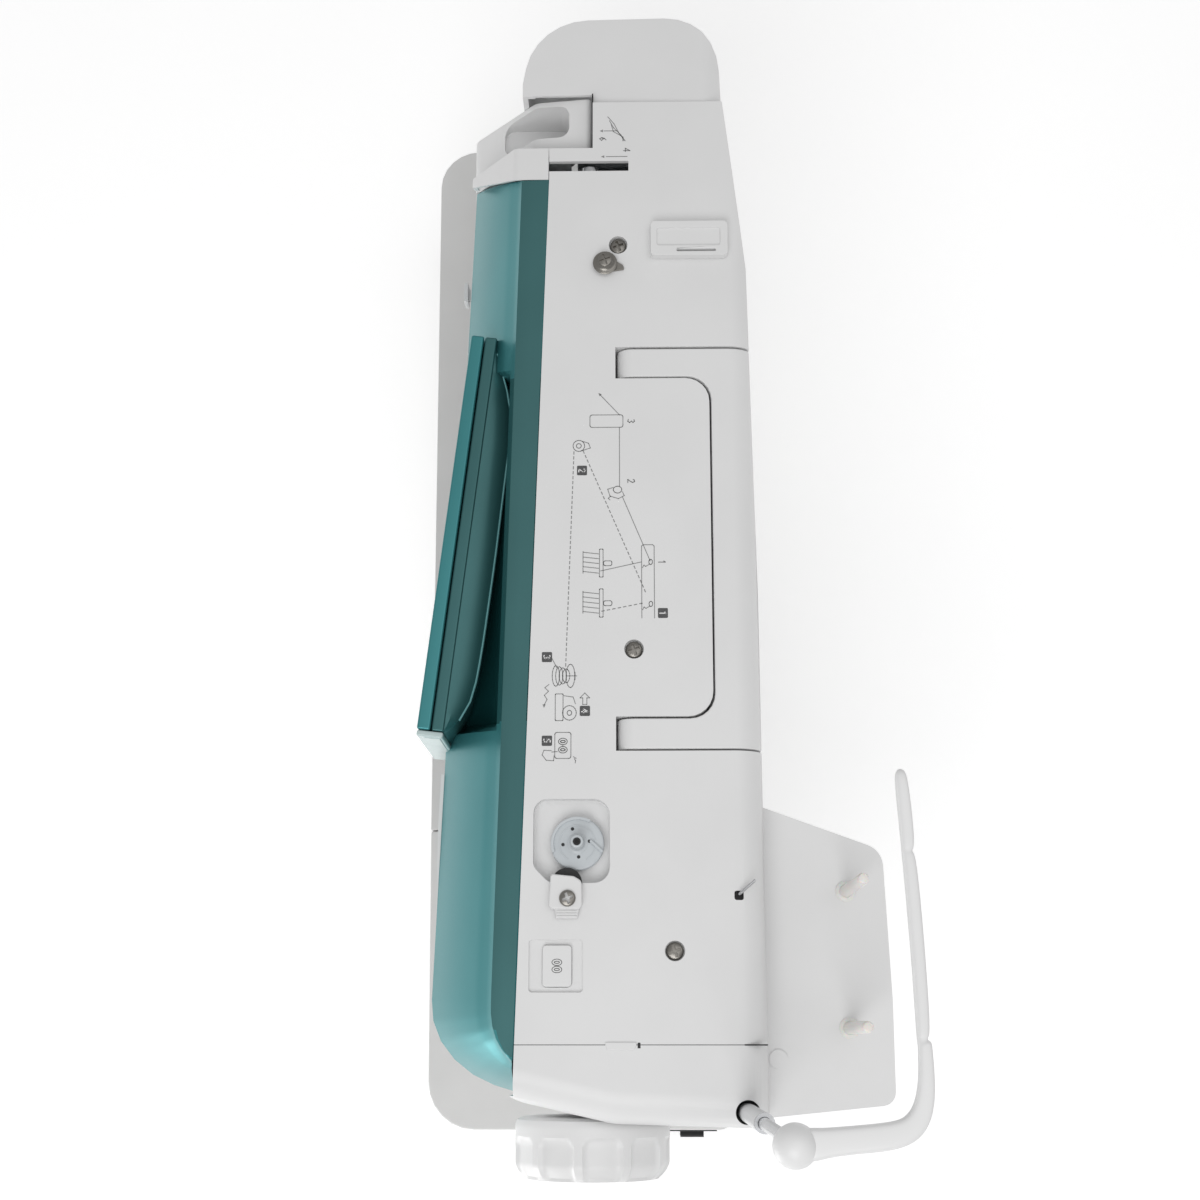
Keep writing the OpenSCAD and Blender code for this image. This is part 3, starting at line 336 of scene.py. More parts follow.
# %% Metallic lacquer
def metallic_lacquer(name, dark, light, rough):
    """ABS sprayed with metallic lacquer: aluminium flakes about 0.05 mm wide under a clear coat.
    The flakes are drawn near 0.6 mm as a faint shimmer, since real ones are too fine to show."""
    material, tree, shader = finish(name)
    mottled(tree, shader, dark, light, 12)
    relief = textured(tree, shader, 0.6, 0.006, 0.3)
    roughness_between(tree, shader, relief, *rough)
    for socket, value in (("Metallic", 0.6), ("Coat Weight", 0.12), ("Coat Roughness", 0.22)):
        shader.inputs[socket].default_value = value
    return material


teal_lacquer = metallic_lacquer("teal_metallic_lacquer", "#3C8488", "#438C90", (0.32, 0.42))
# Painted shade: the top strip is the same lacquer, drawn darker on the faces that look straight up
painted_shade_teal_strip = metallic_lacquer("teal_metallic_lacquer_top_strip_painted_shade", "#3E6B6C", "#447374", (0.4, 0.5))
deep_teal = metallic_lacquer("deep_teal_metallic_lacquer", "#386566", "#3F6E6F", (0.34, 0.44))
# Painted shadow: the slope tucked in behind the screen, under the pod's overhang, is drawn in a much darker
# teal
painted_shadow_tucked_teal = metallic_lacquer("teal_metallic_lacquer_painted_shadow_behind_screen", "#1B5456", "#216062", (0.4, 0.5))
# Painted highlight: the thin rim of the bulge is drawn in a lighter teal
painted_highlight_rim_teal = metallic_lacquer("teal_metallic_lacquer_rim_painted_highlight", "#6FA9AB", "#7BB3B5", (0.26, 0.34))


# %% Metals
def polished_steel(name, tone, rough, grain=0.5):
    """Steel, ground and then plated or polished. It mirrors the room softly, so the fine grinding
    marks are given as small changes of roughness."""
    material, tree, shader = finish(name)
    shader.inputs["Base Color"].default_value = linear(tone)
    shader.inputs["Metallic"].default_value = 1.0
    relief = textured(tree, shader, grain, 0.008, 0.3)
    roughness_between(tree, shader, relief, *rough)
    return material


def brushed_steel(name, tone):
    """Stainless sheet with a brushed finish: scratches about 0.2 mm apart that run along X."""
    material, tree, shader = finish(name)
    stretch = add(tree, "ShaderNodeMapping", links={"Vector": place_of(tree)}, Scale=(60, 5000, 5000))
    marks = add(tree, "ShaderNodeTexNoise", links={"Vector": stretch.outputs["Vector"]},
                Scale=1.0, Detail=4.0)
    bump = add(tree, "ShaderNodeBump", links={"Height": marks.outputs["Fac"]},
               Strength=0.35, Distance=0.02 * MM)
    tree.links.new(bump.outputs["Normal"], shader.inputs["Normal"])
    roughness_between(tree, shader, marks, 0.26, 0.42)
    shader.inputs["Base Color"].default_value = linear(tone)
    shader.inputs["Metallic"].default_value = 1.0
    return material


plate_finish = brushed_steel("brushed_stainless_needle_plate", "#C9CACB")
bright_finish = polished_steel("nickel_plated_steel", "#C4C5C7", (0.14, 0.24))
screw_finish = polished_steel("zinc_plated_screw_steel", "#8B8883", (0.26, 0.4), 0.8)
cast_finish = polished_steel("cast_aluminium_frame", "#9EA1A4", (0.5, 0.66), 1.6)
bronze_finish = polished_steel("sintered_bronze_bush", "#B08A4E", (0.38, 0.5), 0.8)
motor_finish = moulded_abs("grey_painted_motor_can", "#66696C", "#707376", rough=(0.34, 0.44), ior=1.5)

# %% Rubber, glass, board and print
rubber, tree, shader = finish("black_nitrile_rubber_foot")
mottled(tree, shader, "#1B1B1B", "#262626", 60)
roughness_between(tree, shader, textured(tree, shader, 1.5, 0.03, 0.5), 0.72, 0.88)

screen_glass, tree, shader = finish("black_backed_cover_glass")
# Cover glass with a black printed back: deep black with one sharp clean reflection.
roughness_between(tree, shader, mottled(tree, shader, "#07090A", "#0D1113", 9), 0.04, 0.09)
shader.inputs["IOR"].default_value = 1.52

board_finish, tree, shader = finish("green_solder_resist_board")
mottled(tree, shader, "#175036", "#206B48", 160)
roughness_between(tree, shader, textured(tree, shader, 1.2, 0.03, 0.4), 0.3, 0.5)

clear_pc, tree, shader = finish("clear_polycarbonate")
# Clear moulded polycarbonate: hardly any colour, a sharp highlight and the parts behind it.
roughness_between(tree, shader, textured(tree, shader, 3.0, 0.01, 0.2), 0.05, 0.12)
shader.inputs["Base Color"].default_value = linear("#F2F6F6")
shader.inputs["Transmission Weight"].default_value = 0.85
shader.inputs["IOR"].default_value = 1.585


def pad_ink(name, dark, light):
    """Pad-printed ink: thin and matt, with a faintly uneven tone."""
    material, tree, shader = finish(name)
    mottled(tree, shader, dark, light, 400)
    roughness_between(tree, shader, textured(tree, shader, 0.8, 0.01, 0.3), 0.5, 0.62)
    return material


print_ink = pad_ink("grey_pad_print_ink", "#858585", "#8E8E8E")
dark_ink = pad_ink("dark_grey_pad_print_ink", "#4C4C4D", "#555556")

finish_of_slot = {
    "white_cover": white_abs, "bed_plastic": bed_abs, "teal_plastic": teal_lacquer,
    "dark_teal_plastic": deep_teal, "screen_glass": screen_glass, "grey_cap": smoke_cap,
    "plate_steel": plate_finish, "bright_steel": bright_finish, "cast_frame": cast_finish,
    "rubber": rubber, "black_plastic": black_nylon, "motor_metal": motor_finish,
    "board": board_finish, "bush_bronze": bronze_finish, "clear_plastic": clear_pc,
    "grey_plastic": key_abs, "pin_plastic": acetal,
}
print("finishes:", len(bpy.data.materials))

# %% [markdown]
# ## Camera, floor and light
# The camera looks almost straight down from about 1.1 m, on a 57 mm lens. A wide soft lamp stands
# high at the handwheel end, a second one hangs overhead, and a pale sky fills the shadows, as in a
# light tent. A small low lamp gives the lacquered corner beside the handwheel its highlight.

# %% Camera
camera = bpy.data.objects.new("camera", bpy.data.cameras.new("camera"))
camera.data.sensor_width = 36
camera.data.lens = 56.61
sight = Vector((-0.22708278, -0.02010029, -0.97366801))
camera_right = Vector((0.0, 0.99978698, -0.02063949))
camera_up = Vector((-0.97387546, 0.00468687, 0.22703441))
turned = Matrix((camera_right, camera_up, -sight)).transposed().to_4x4()
camera.matrix_world = Matrix.Translation((0.2215, 0.0015, 1.112)) @ turned
bpy.context.scene.collection.objects.link(camera)
bpy.context.scene.camera = camera
bpy.context.scene.view_settings.view_transform = "Standard"

# %% Floor and lamps
corners = ((-3000, -3000), (3000, -3000), (3000, 3000), (-3000, 3000))
floor = piece_from("floor", [(x, y, -0.4) for x, y in corners], [(0, 1, 2, 3)])
floor_paint, tree, shader = finish("white_paper_floor")
mottled(tree, shader, "#FAFAFA", "#FCFCFC", 3)
for socket, value in (("Roughness", 0.9), ("Specular IOR Level", 0.1),
                      ("Emission Color", (1, 1, 1, 1)), ("Emission Strength", 0.28)):
    shader.inputs[socket].default_value = value
floor.data.materials.append(floor_paint)


def lamp(name, place, size, power, towards=(0, 0, 0.15)):
    light = bpy.data.lights.new(name, "AREA")
    light.shape, light.size, light.energy = "DISK", size, power
    obj = bpy.data.objects.new(name, light)
    obj.location = place
    obj.rotation_euler = (Vector(towards) - Vector(place)).to_track_quat("-Z", "Y").to_euler()
    bpy.context.scene.collection.objects.link(obj)


lamp("key_softbox", (1.15, -0.25, 1.75), 1.2, 11.5)
lamp("corner_softbox", (0.6, -0.5, 0.04), 0.36, 2, (0.22, -0.06, 0.27))
lamp("overhead_softbox", (-0.1, 0.5, 2.1), 1.6, 5)
world = bpy.data.worlds.new("light_tent")
world.use_nodes = True
world.node_tree.nodes["Background"].inputs["Color"].default_value = (1, 1, 1, 1)
world.node_tree.nodes["Background"].inputs["Strength"].default_value = 0.5
bpy.context.scene.world = world

# %% [markdown]
# ## Covers with moulded edges
# A CAD cover has knife-sharp edges, while a real moulding has a small radius everywhere and a
# little groove at each seam. A copy of each cover is merged, its flat triangles are joined back
# into whole faces, and a Bevel modifier rounds what is left. That keeps the CAD's shape exactly.

# %% Round the edges of the CAD covers
def moulding(node, width):
    """A copy of a CAD node with rounded edges."""
    obj = bpy.data.objects.new(node + "_moulded", nodes[node].data.copy())
    obj.data.materials.clear()
    bpy.context.scene.collection.objects.link(obj)
    edit = bmesh.new()
    edit.from_mesh(obj.data)
    bmesh.ops.remove_doubles(edit, verts=edit.verts, dist=0.004 * MM)
    bmesh.ops.dissolve_limit(edit, angle_limit=math.radians(1.0), verts=edit.verts, edges=edit.edges)
    edit.to_mesh(obj.data)
    edit.free()
    for layer in list(obj.data.attributes):
        if layer.name.startswith("custom_normal"):
            obj.data.attributes.remove(layer)
    return soften(obj, width)


edge_radius = {
    "extension_table": 1.2, "base_shell": 1.2, "free_arm_cover": 1.0, "front_cover": 0.6,
    "rear_cover": 0.6, "top_cover": 0.55, "face_cover": 0.7, "end_cover": 0.6,
    "spool_platform": 1.0, "carry_handle": 0.9, "needle_plate": 0.25, "bobbin_cover": 0.3,
    "thread_guide_box": 0.5, "mast_socket": 0.2, "mast_tube": 0.2, "power_inlet": 0.4,
    "power_switch": 0.5, "rubber_feet": 0.8, "base_plate": 0.4, "presser_foot": 0.3,
    "presser_lever": 0.6, "start_stop_button": 0.5, "reverse_button": 0.5,
    "needle_position_button": 0.5, "thread_cutter_button": 0.5, "speed_slider": 0.6,
    "take_up_lever": 0.3, "needle_bar": 0.2, "motor": 0.8, "lamp_lens": 0.3, "head_nose": 0.8,
}
for node, width in edge_radius.items():
    # The mast socket is drawn in black nylon so that the mouth of the mast reads dark: painted shade in the
    # hole
    look = black_nylon if node == "mast_socket" else finish_of_slot[slot_of_node[node]]
    hand_over(moulding(node, width), body_of_node[node], look, node)
print("moulded:", len(edge_radius))

# %% [markdown]
# ## Shapes that follow a rule, by Geometry Nodes
# Screws, grip ribs and printed dashes are one small shape repeated, and the handwheel's flutes
# follow a rule round its rim. They could be placed one by one, but a node tree states the rule
# once and keeps its sizes as named inputs. Each tree is built here and applied at once, so that
# a plain mesh is left.

# %% Trees and their named inputs
def new_tree(name, **sockets):
    tree = bpy.data.node_groups.new(name, "GeometryNodeTree")
    tree.interface.new_socket(name="Geometry", in_out="INPUT", socket_type="NodeSocketGeometry")
    for socket, kind in sockets.items():
        tree.interface.new_socket(name=socket, in_out="INPUT", socket_type="NodeSocket" + kind)
    tree.interface.new_socket(name="Geometry", in_out="OUTPUT", socket_type="NodeSocketGeometry")
    return tree, add(tree, "NodeGroupInput").outputs


def close_tree(tree, geometry, material):
    """Every tree ends in Realize Instances and Set Material."""
    real = add(tree, "GeometryNodeRealizeInstances", links={"Geometry": geometry})
    painted = add(tree, "GeometryNodeSetMaterial",
                  links={"Geometry": real.outputs[0], "Material": material})
    add(tree, "NodeGroupOutput", links={"Geometry": painted.outputs[0]})


def run_tree(obj, tree, **values):
    """Adds the tree as a modifier, sets its inputs by identifier and bakes the result."""
    modifier = obj.modifiers.new(tree.name, "NODES")
    modifier.node_group = tree
    for item in tree.interface.items_tree:
        if item.in_out == "INPUT" and item.name in values:
            modifier[item.identifier] = values[item.name]
    return shade(bake(obj), 35)


# One tree sets a piece at every point; a second also turns it along the line
copies_tree, given = new_tree("copies_at_points", Piece="Object", Material="Material")
piece_info = add(copies_tree, "GeometryNodeObjectInfo", links={"Object": given["Piece"]})
set_out = add(copies_tree, "GeometryNodeInstanceOnPoints",
              links={"Points": given["Geometry"], "Instance": piece_info.outputs["Geometry"]})
close_tree(copies_tree, set_out.outputs[0], given["Material"])

dash_tree, given = new_tree("dashes_along_line", Piece="Object", Pitch="Float", Material="Material")
as_curve = add(dash_tree, "GeometryNodeMeshToCurve", links={"Mesh": given["Geometry"]})
spaced = add(dash_tree, "GeometryNodeResampleCurve", {"mode": "LENGTH"},
             {"Curve": as_curve.outputs[0], "Length": given["Pitch"]})
run = add(dash_tree, "GeometryNodeInputTangent")
heading = add(dash_tree, "FunctionNodeAlignRotationToVector", {"axis": "X"}, {"Vector": run.outputs[0]})
piece_info = add(dash_tree, "GeometryNodeObjectInfo", links={"Object": given["Piece"]})
dashes = add(dash_tree, "GeometryNodeInstanceOnPoints",
             links={"Points": spaced.outputs[0], "Instance": piece_info.outputs["Geometry"],
                    "Rotation": heading.outputs[0]})
close_tree(dash_tree, dashes.outputs[0], given["Material"])


def at_points(name, piece, places, material):
    """Copies of a small piece at the places, as one mesh; the small piece itself goes."""
    obj = piece_from(name, places, [])
    run_tree(obj, copies_tree, Piece=piece, Material=material)
    bpy.data.objects.remove(piece)
    return obj


print("trees:", [t.name for t in bpy.data.node_groups])

# %% [markdown]
# ## Teal front panel
# The real panel is one lacquered moulding: a narrow strip on top, a soft ridge, and a long slope
# that turns the corner at the handwheel end, where the strip runs out to nothing. Behind the
# screen the slope is tucked in between two creases. A loft through three rails, the top seam,
# the ridge and the lower edge, gives all of that at once, and no boolean could turn the corner
# as softly.

# %% Rails of the panel, in millimetres
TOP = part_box("top_cover")[1].z / MM
SHOULDER = TOP - 54
PANEL_LEFT, PANEL_CORNER = -169.3, 204.0
panel_stations = [  # top seam, ridge, lower edge
    ((PANEL_LEFT, -39.3), (PANEL_LEFT, -51.8), (-187.5, -77.4)),
    ((PANEL_CORNER, -51.3), (PANEL_CORNER, -61.3), (PANEL_CORNER, -92.0)),
    ((211.0, -51.5), (210.5, -61.3), (213.0, -91.2)),
    ((217.0, -51.7), (216.0, -60.6), (222.0, -87.6)),
    ((222.0, -51.8), (221.0, -59.0), (230.0, -81.3)),
    ((226.0, -51.9), (225.2, -56.6), (236.5, -73.0)),
    ((228.6, -52.0), (228.2, -54.2), (241.0, -63.5)),
    ((230.0, -52.2), (230.0, -52.5), (244.3, -52.6)),
]
TUCK_FROM, TUCK_TO, TUCK_DEPTH = -76.0, 90.0, 7.5


def tuck(x):
    """How far the slope is pulled in behind the screen: 0 outside the two creases, 1 between."""
    return max(0.0, min(1.0, (x - TUCK_FROM) / 4, (TUCK_TO - x) / 4))


def panel_section(seam, ridge, edge):
    """Points down the panel: strip, rounded ridge, slope with a slight crown, lower lip."""
    s, r = Vector((*seam, TOP - 0.15)), Vector((*ridge, TOP - 0.7))
    e = Vector((*edge, SHOULDER + 0.3))
    inwards = Vector((0.0, 1.0, 0.0))
    if ridge[0] >= 205:
        inwards = (Vector((190, -30, 0)) - Vector((e.x, e.y, 0))).normalized()
    down = Vector((0, 0, -1))
    run = e - r
    outer = [s, s.lerp(r, 0.5), s.lerp(r, 0.86)]
    for k, drop in ((0.0, 0.5), (0.03, 0.45), (0.08, 0.0)):
        outer.append(r + run * k + down * drop * 0.4)
    pull = tuck(ridge[0])
    for k in range(1, 13):
        t = 0.08 + 0.92 * k / 12
        crown = 2.2 * math.sin(math.pi * min(t, 1)) * (1 - pull)
        point = r + run * t - inwards * crown * 0.8 - down * crown * 0.6
        pulled_in = TUCK_DEPTH * pull * math.sin(math.pi * min(1, t * 1.15) / 1.3) * 1.1
        outer.append(point + inwards * pulled_in)
    inner = [p + inwards * 2.0 + down * 2.2 for p in reversed(outer)]
    return outer + inner


sections = []
spans = [(PANEL_LEFT, TUCK_FROM, 10), (TUCK_FROM, TUCK_FROM + 4, 4), (TUCK_FROM + 4, TUCK_TO - 4, 24),
         (TUCK_TO - 4, TUCK_TO, 4), (TUCK_TO, PANEL_CORNER, 16)]
for x0, x1, steps in spans:
    for k in range(steps):
        t = (lerp(x0, x1, k / steps) - PANEL_LEFT) / (PANEL_CORNER - PANEL_LEFT)
        sections.append(panel_section(*[Vector(a).lerp(Vector(b), t) for a, b in zip(*panel_stations[:2])]))
corner_rails = list(zip(*panel_stations[1:]))
for k in range(25):
    sections.append(panel_section(*[along_line(rail, k / 24) for rail in corner_rails]))
panel = loft("front_panel_lacquered", sections, smooth=24)
hand_over(panel, "housing", teal_lacquer, "front_panel")
for extra in (painted_shade_teal_strip, painted_shadow_tucked_teal):
    panel.data.materials.append(extra)
for face in panel.data.polygons:
    # Faces that look straight up along the top strip take the darker teal as painted shade
    up = face.normal.z > 0.97 and face.center.z > (TOP - 1.2) * MM
    # Faces between the creases take the darkest teal as painted shadow of the screen pod
    face.material_index = 1 if up else 2 if tuck(face.center.x / MM) > 0.9 else 0
print("panel faces:", len(panel.data.polygons))

# %% [markdown]
# ## Screen pod
# The pod is two flat mouldings back to back, a bezel and a rear shell, with a thin seam between
# and a smoked cap on its end. Behind it a pod-shaped bulge swells out to meet the front panel.
# The slabs are bevelled prisms turned to the pod's angle; the bulge is a loft whose back follows
# the rim line.

# %% Pod slabs
pod_low, pod_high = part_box("screen_bezel")
POD_BOTTOM, POD_TOP = pod_low.z / MM, pod_high.z / MM
POD_START, POD_TURN, POD_LENGTH, LAYER = Vector((-97.5, -75.2)), math.radians(-6.65), 189.0, 6.0


def on_pod(along, back):
    """Plan point at a distance along the pod and behind its front face."""
    c, s = math.cos(POD_TURN), math.sin(POD_TURN)
    return (POD_START.x + along * c - back * s, POD_START.y + along * s + back * c)


def pod_slab(name, along, back, z0, z1, width, segments=3):
    """A rounded slab between two distances along the pod and two behind its front face."""
    (a0, a1), (b0, b1) = along, back
    corners = [on_pod(a0, b0), on_pod(a1, b0), on_pod(a1, b1), on_pod(a0, b1)]
    return soften(prism(name, corners, z0, z1), width, segments)


CAP = 2.6
SHELL_END = POD_LENGTH - CAP - 0.3
bezel = pod_slab("screen_bezel_moulded", (0, SHELL_END), (0, LAYER), POD_BOTTOM, POD_TOP, 1.0)
hand_over(bezel, "housing", teal_lacquer, "screen_bezel")
rear_slab = pod_slab("rear", (0, SHELL_END), (LAYER + 0.5, 2 * LAYER), POD_BOTTOM, POD_TOP - 0.6, 0.9)
cap_outer = pod_slab("cap", (POD_LENGTH - CAP, POD_LENGTH), (0.2, 2 * LAYER),
                     POD_BOTTOM + 0.3, POD_TOP - 0.3, 0.8)
cap_panel = pod_slab("cap window", (POD_LENGTH - 0.5, POD_LENGTH + 0.35), (3.4, 2 * LAYER - 1.2),
                     POD_TOP - 44, POD_TOP - 3, 0.25, 2)
cap = join("screen_end_cap_smoked", [cap_outer, cap_panel])
hand_over(cap, "housing", smoke_cap, "screen_end_cap")

# The glass stands 0.5 mm proud of a shallow frame, so that both catch the light
glass = pod_slab("screen_cover_glass", (7, POD_LENGTH - CAP - 7), (-0.5, 2), POD_BOTTOM + 7, POD_TOP - 7, 0.4)
hand_over(glass, "housing", screen_glass, "screen_glass")

# %% Bulge behind the pod
rim = [(-95.0, -64.6), (-82.5, -61.6), (-73.1, -58.9), (-62.4, -57.1), (-47.3, -57.2), (-29.5, -59.2),
       (8.5, -63.3), (45.7, -68.0), (64.0, -70.8), (76.0, -74.2), (84.0, -79.0), (88.6, -84.6)]


def rim_at(x):
    for (x0, y0), (x1, y1) in zip(rim, rim[1:]):
        if x <= x1:
            return y0 + (y1 - y0) * (x - x0) / (x1 - x0)
    return rim[-1][1]


bulge_rings = []
for k in range(65):
    x = lerp(rim[0][0], rim[-1][0], k / 64)
    back = POD_START.y + (x - POD_START.x) * math.tan(POD_TURN) + 2 * LAYER / math.cos(POD_TURN) - 0.4
    y = max(rim_at(x), back + 0.3)
    swell = min(1.0, (y - back) / 9)
    bulge_rings.append([
        (x, back, POD_TOP - 1.6),
        (x, lerp(back, y, 0.35), POD_TOP - 1.8 - 0.6 * swell),
        (x, lerp(back, y, 0.72), POD_TOP - 2.6 - 1.8 * swell),
        (x, lerp(back, y, 0.93), POD_TOP - 3.2 - 3.2 * swell),
        (x, y, POD_TOP - 3.4 - 4.2 * swell), (x, y + 0.15, POD_TOP - 5.0 - 4.4 * swell),
        (x, lerp(back, y, 0.97), POD_TOP - 12 - 6 * swell),
        (x, lerp(back, y, 0.75), POD_TOP - 40), (x, back, POD_BOTTOM + 12)])
bulge = loft("bulge", bulge_rings, smooth=35)
rim_path = [(x, y - 0.1, z + 0.5) for x, y, z in (ring[4] for ring in bulge_rings[2:-2:3])]
# The bar along the rim is drawn in the lighter teal: a painted highlight on the edge of the bulge
rim_line = tube("screen_bulge_rim", rim_path, 0.55, 10)
hand_over(rim_line, "housing", painted_highlight_rim_teal, slot="dark_teal_plastic")
rear = join("screen_rear_shell_lacquered", [rear_slab, bulge])
hand_over(rear, "housing", deep_teal, "screen_rear_shell")
print("pod ends:", [tuple(round(v, 1) for v in on_pod(along, 0)) for along in (0, POD_LENGTH)])

# %% [markdown]
# ## Handwheel
# The wheel is a turned shape with ten shallow finger flutes, each starting in an arch a little
# way from the inner edge. Its rim is a lathe mesh; a node tree pushes the rim in by a rule of
# angle and width, which is how the mould's cutter would have done it.

# %% Flutes by rule
flute_tree, given = new_tree("flutes_round_rim", Flutes="Float", Depth="Float", Start="Float",
                             Centre="Vector", Material="Material")
place = add(flute_tree, "GeometryNodeInputPosition").outputs[0]
from_centre = add(flute_tree, "ShaderNodeVectorMath", {"operation": "SUBTRACT"})
flute_tree.links.new(place, from_centre.inputs[0])
flute_tree.links.new(given["Centre"], from_centre.inputs[1])
parts = add(flute_tree, "ShaderNodeSeparateXYZ", links={"Vector": from_centre.outputs[0]})


def rule(operation, *values):
    """One Math node of the flute tree; numbers become values and sockets become links."""
    node = add(flute_tree, "ShaderNodeMath", {"operation": operation})
    for i, value in enumerate(values):
        if isinstance(value, (int, float)):
            node.inputs[i].default_value = value
        else:
            flute_tree.links.new(value, node.inputs[i])
    return node.outputs[0]


turn = rule("ARCTAN2", parts.outputs["Z"], parts.outputs["Y"])
in_turns = rule("MULTIPLY", rule("DIVIDE", turn, math.tau), given["Flutes"])
phase = rule("SUBTRACT", rule("FRACT", rule("ADD", in_turns, 50.25)), 0.5)
across = rule("POWER", rule("ABSOLUTE", rule("DIVIDE", phase, 0.4)), 5.0)
short = rule("MAXIMUM", rule("SUBTRACT", given["Start"], parts.outputs["X"]), 0.0)
arch = rule("POWER", rule("DIVIDE", short, 0.0052), 2.0)
bowl = rule("MAXIMUM", rule("SUBTRACT", 1.0, rule("ADD", across, arch)), 0.0)
push = rule("MULTIPLY", rule("POWER", bowl, 0.45), given["Depth"])
radial = add(flute_tree, "ShaderNodeCombineXYZ", links={"Y": parts.outputs["Y"], "Z": parts.outputs["Z"]})
unit = add(flute_tree, "ShaderNodeVectorMath", {"operation": "NORMALIZE"})
flute_tree.links.new(radial.outputs[0], unit.inputs[0])
inwards = add(flute_tree, "ShaderNodeVectorMath", {"operation": "SCALE"},
              links={"Scale": rule("MULTIPLY", push, -1.0)})
flute_tree.links.new(unit.outputs[0], inwards.inputs[0])
size = add(flute_tree, "ShaderNodeVectorMath", {"operation": "LENGTH"})
flute_tree.links.new(radial.outputs[0], size.inputs[0])
on_rim = rule("GREATER_THAN", size.outputs["Value"], 0.0305)
pushed = add(flute_tree, "GeometryNodeSetPosition",
             links={"Geometry": given["Geometry"], "Selection": on_rim, "Offset": inwards.outputs[0]})
close_tree(flute_tree, pushed.outputs[0], given["Material"])

# %% Wheel body
wheel_low, wheel_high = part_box("handwheel")
WHEEL_IN = wheel_low.x / MM
WHEEL_Y, WHEEL_Z = (wheel_low.y + wheel_high.y) / 2 / MM, (wheel_low.z + wheel_high.z) / 2 / MM
WHEEL_R = (wheel_high.z - wheel_low.z) / 2 / MM
FLUTES, WHEEL_SEGMENTS = 10, 240
# Radius and distance from the inner face, drawn for a wheel of this radius
DRAWN_R = 34
profile = [(0, 0.0), (28, 0.0), (31.4, 0.3), (33.2, 1.3), (33.9, 3.0), (34.0, 4.5)]
profile += [(34.0, 4.5 + 0.9 * k) for k in range(1, 18)]
profile += [(33.6, 20.9), (32.6, 23.0), (31.0, 24.9), (29.2, 26.2), (27.2, 26.5), (25.6, 26.2), (24.8, 25.2),
            (24.2, 22.6), (23.4, 21.8), (9.5, 21.6), (8.8, 22.4), (8.2, 22.8), (0, 22.8)]
turns = [math.tau * k / WHEEL_SEGMENTS for k in range(WHEEL_SEGMENTS)]
rings = [[(WHEEL_IN + along, WHEEL_Y + r * WHEEL_R / DRAWN_R * math.cos(a),
           WHEEL_Z + r * WHEEL_R / DRAWN_R * math.sin(a)) for a in turns] for r, along in profile]
wheel = loft("handwheel_moulded", rings)
run_tree(wheel, flute_tree, Flutes=float(FLUTES), Depth=1.9 * MM, Start=13.5 * MM,
         Centre=(WHEEL_IN * MM, WHEEL_Y * MM, WHEEL_Z * MM), Material=white_abs)
outward(wheel)
shade(wheel, 35)
hand_over(wheel, "drive", white_abs, "handwheel")
print("wheel faces:", len(wheel.data.polygons))

# %% [markdown]
# ## Screws
# The cover screws are pan heads with a cross recess. One head is turned on a lathe and two slots
# are cut in it; the tree then sets a copy in each hole.

# %% One screw head, then copies
SCREW_PLACES = [(54.3, -0.3), (184.8, 16.5), (-136.3, -6.9)]


def screw_head(radius, height, slot_width=1.25, slot_reach=0.68):
    """A pan head standing on z = 0, with a cross cut by boolean."""
    dome = [(0.0, 0.0), (radius, 0.0), (radius, height * 0.45)]
    dome += [(radius * (1 - 0.07 * k * k / 4), height * (0.45 + 0.14 * k)) for k in (1, 2, 3)]
    dome += [(radius * 0.35, height * 1.0), (0.0, height * 1.02)]
    head = lathe("head", dome, (0, 0, 0), 32)
    reach, half = radius * slot_reach, slot_width / 2
    slot = ((-reach, -half), (reach, -half), (reach, half), (-reach, half))
    for turned_by in (20, 110):
        c, s = math.cos(math.radians(turned_by)), math.sin(math.radians(turned_by))
        corners = [(x * c - y * s, x * s + y * c) for x, y in slot]
        cutter = prism("cutter", corners, height * 0.12, height * 3)
        cut = head.modifiers.new("cross", "BOOLEAN")
        cut.operation, cut.object, cut.solver = "DIFFERENCE", cutter, "EXACT"
        bake(head)
        bpy.data.objects.remove(cutter)
    return shade(head, 30)


screws = at_points("cover_screws_crosshead", screw_head(3.8, 2.0),
                   [(x, y, TOP - 3.0) for x, y in SCREW_PLACES], screw_finish)
hand_over(screws, "housing", screw_finish, "cover_screws")

# %% [markdown]
# ## Bobbin winder
# The winder is a pale disc with a raised curved rim, a small fin that catches the thread, a post
# with a black socket and tiny holes. Beside it slides the stopper: a white block with a ribbed
# grip, held by a screw. Turned parts come from the lathe, the rest from small bevelled prisms.

# %% Winder disc
spin_low, spin_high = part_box("winder_spindle")
WIND_X, WIND_Y = (spin_low.x + spin_high.x) / 2 / MM, (spin_low.y + spin_high.y) / 2 / MM
SEAT = TOP - 1.5
disc = lathe("disc", [(0, -3.6), (11.2, -3.6), (11.5, -3.2), (11.5, -0.7), (11.1, -0.2), (10.3, 0), (4.6, 0),
                      (4.3, 0.5), (4.1, 0.6), (3.4, 0.6), (3.1, 1.4), (2.9, 8.6), (2.6, 9.3), (1.9, 9.5),
                      (1.7, 9.4), (1.6, 6.5), (0, 6.5)], (WIND_X, WIND_Y, SEAT), 64)


def arc_bar(name, r0, r1, a0, a1, z0, z1):
    """A bar bent round the winder's axis, from angle a0 to a1 in degrees."""
    outer, inner = (arc((WIND_X, WIND_Y), r, r, a0, a1, 24) for r in (r1, r0))
    return prism(name, outer + inner[::-1], z0, z1)


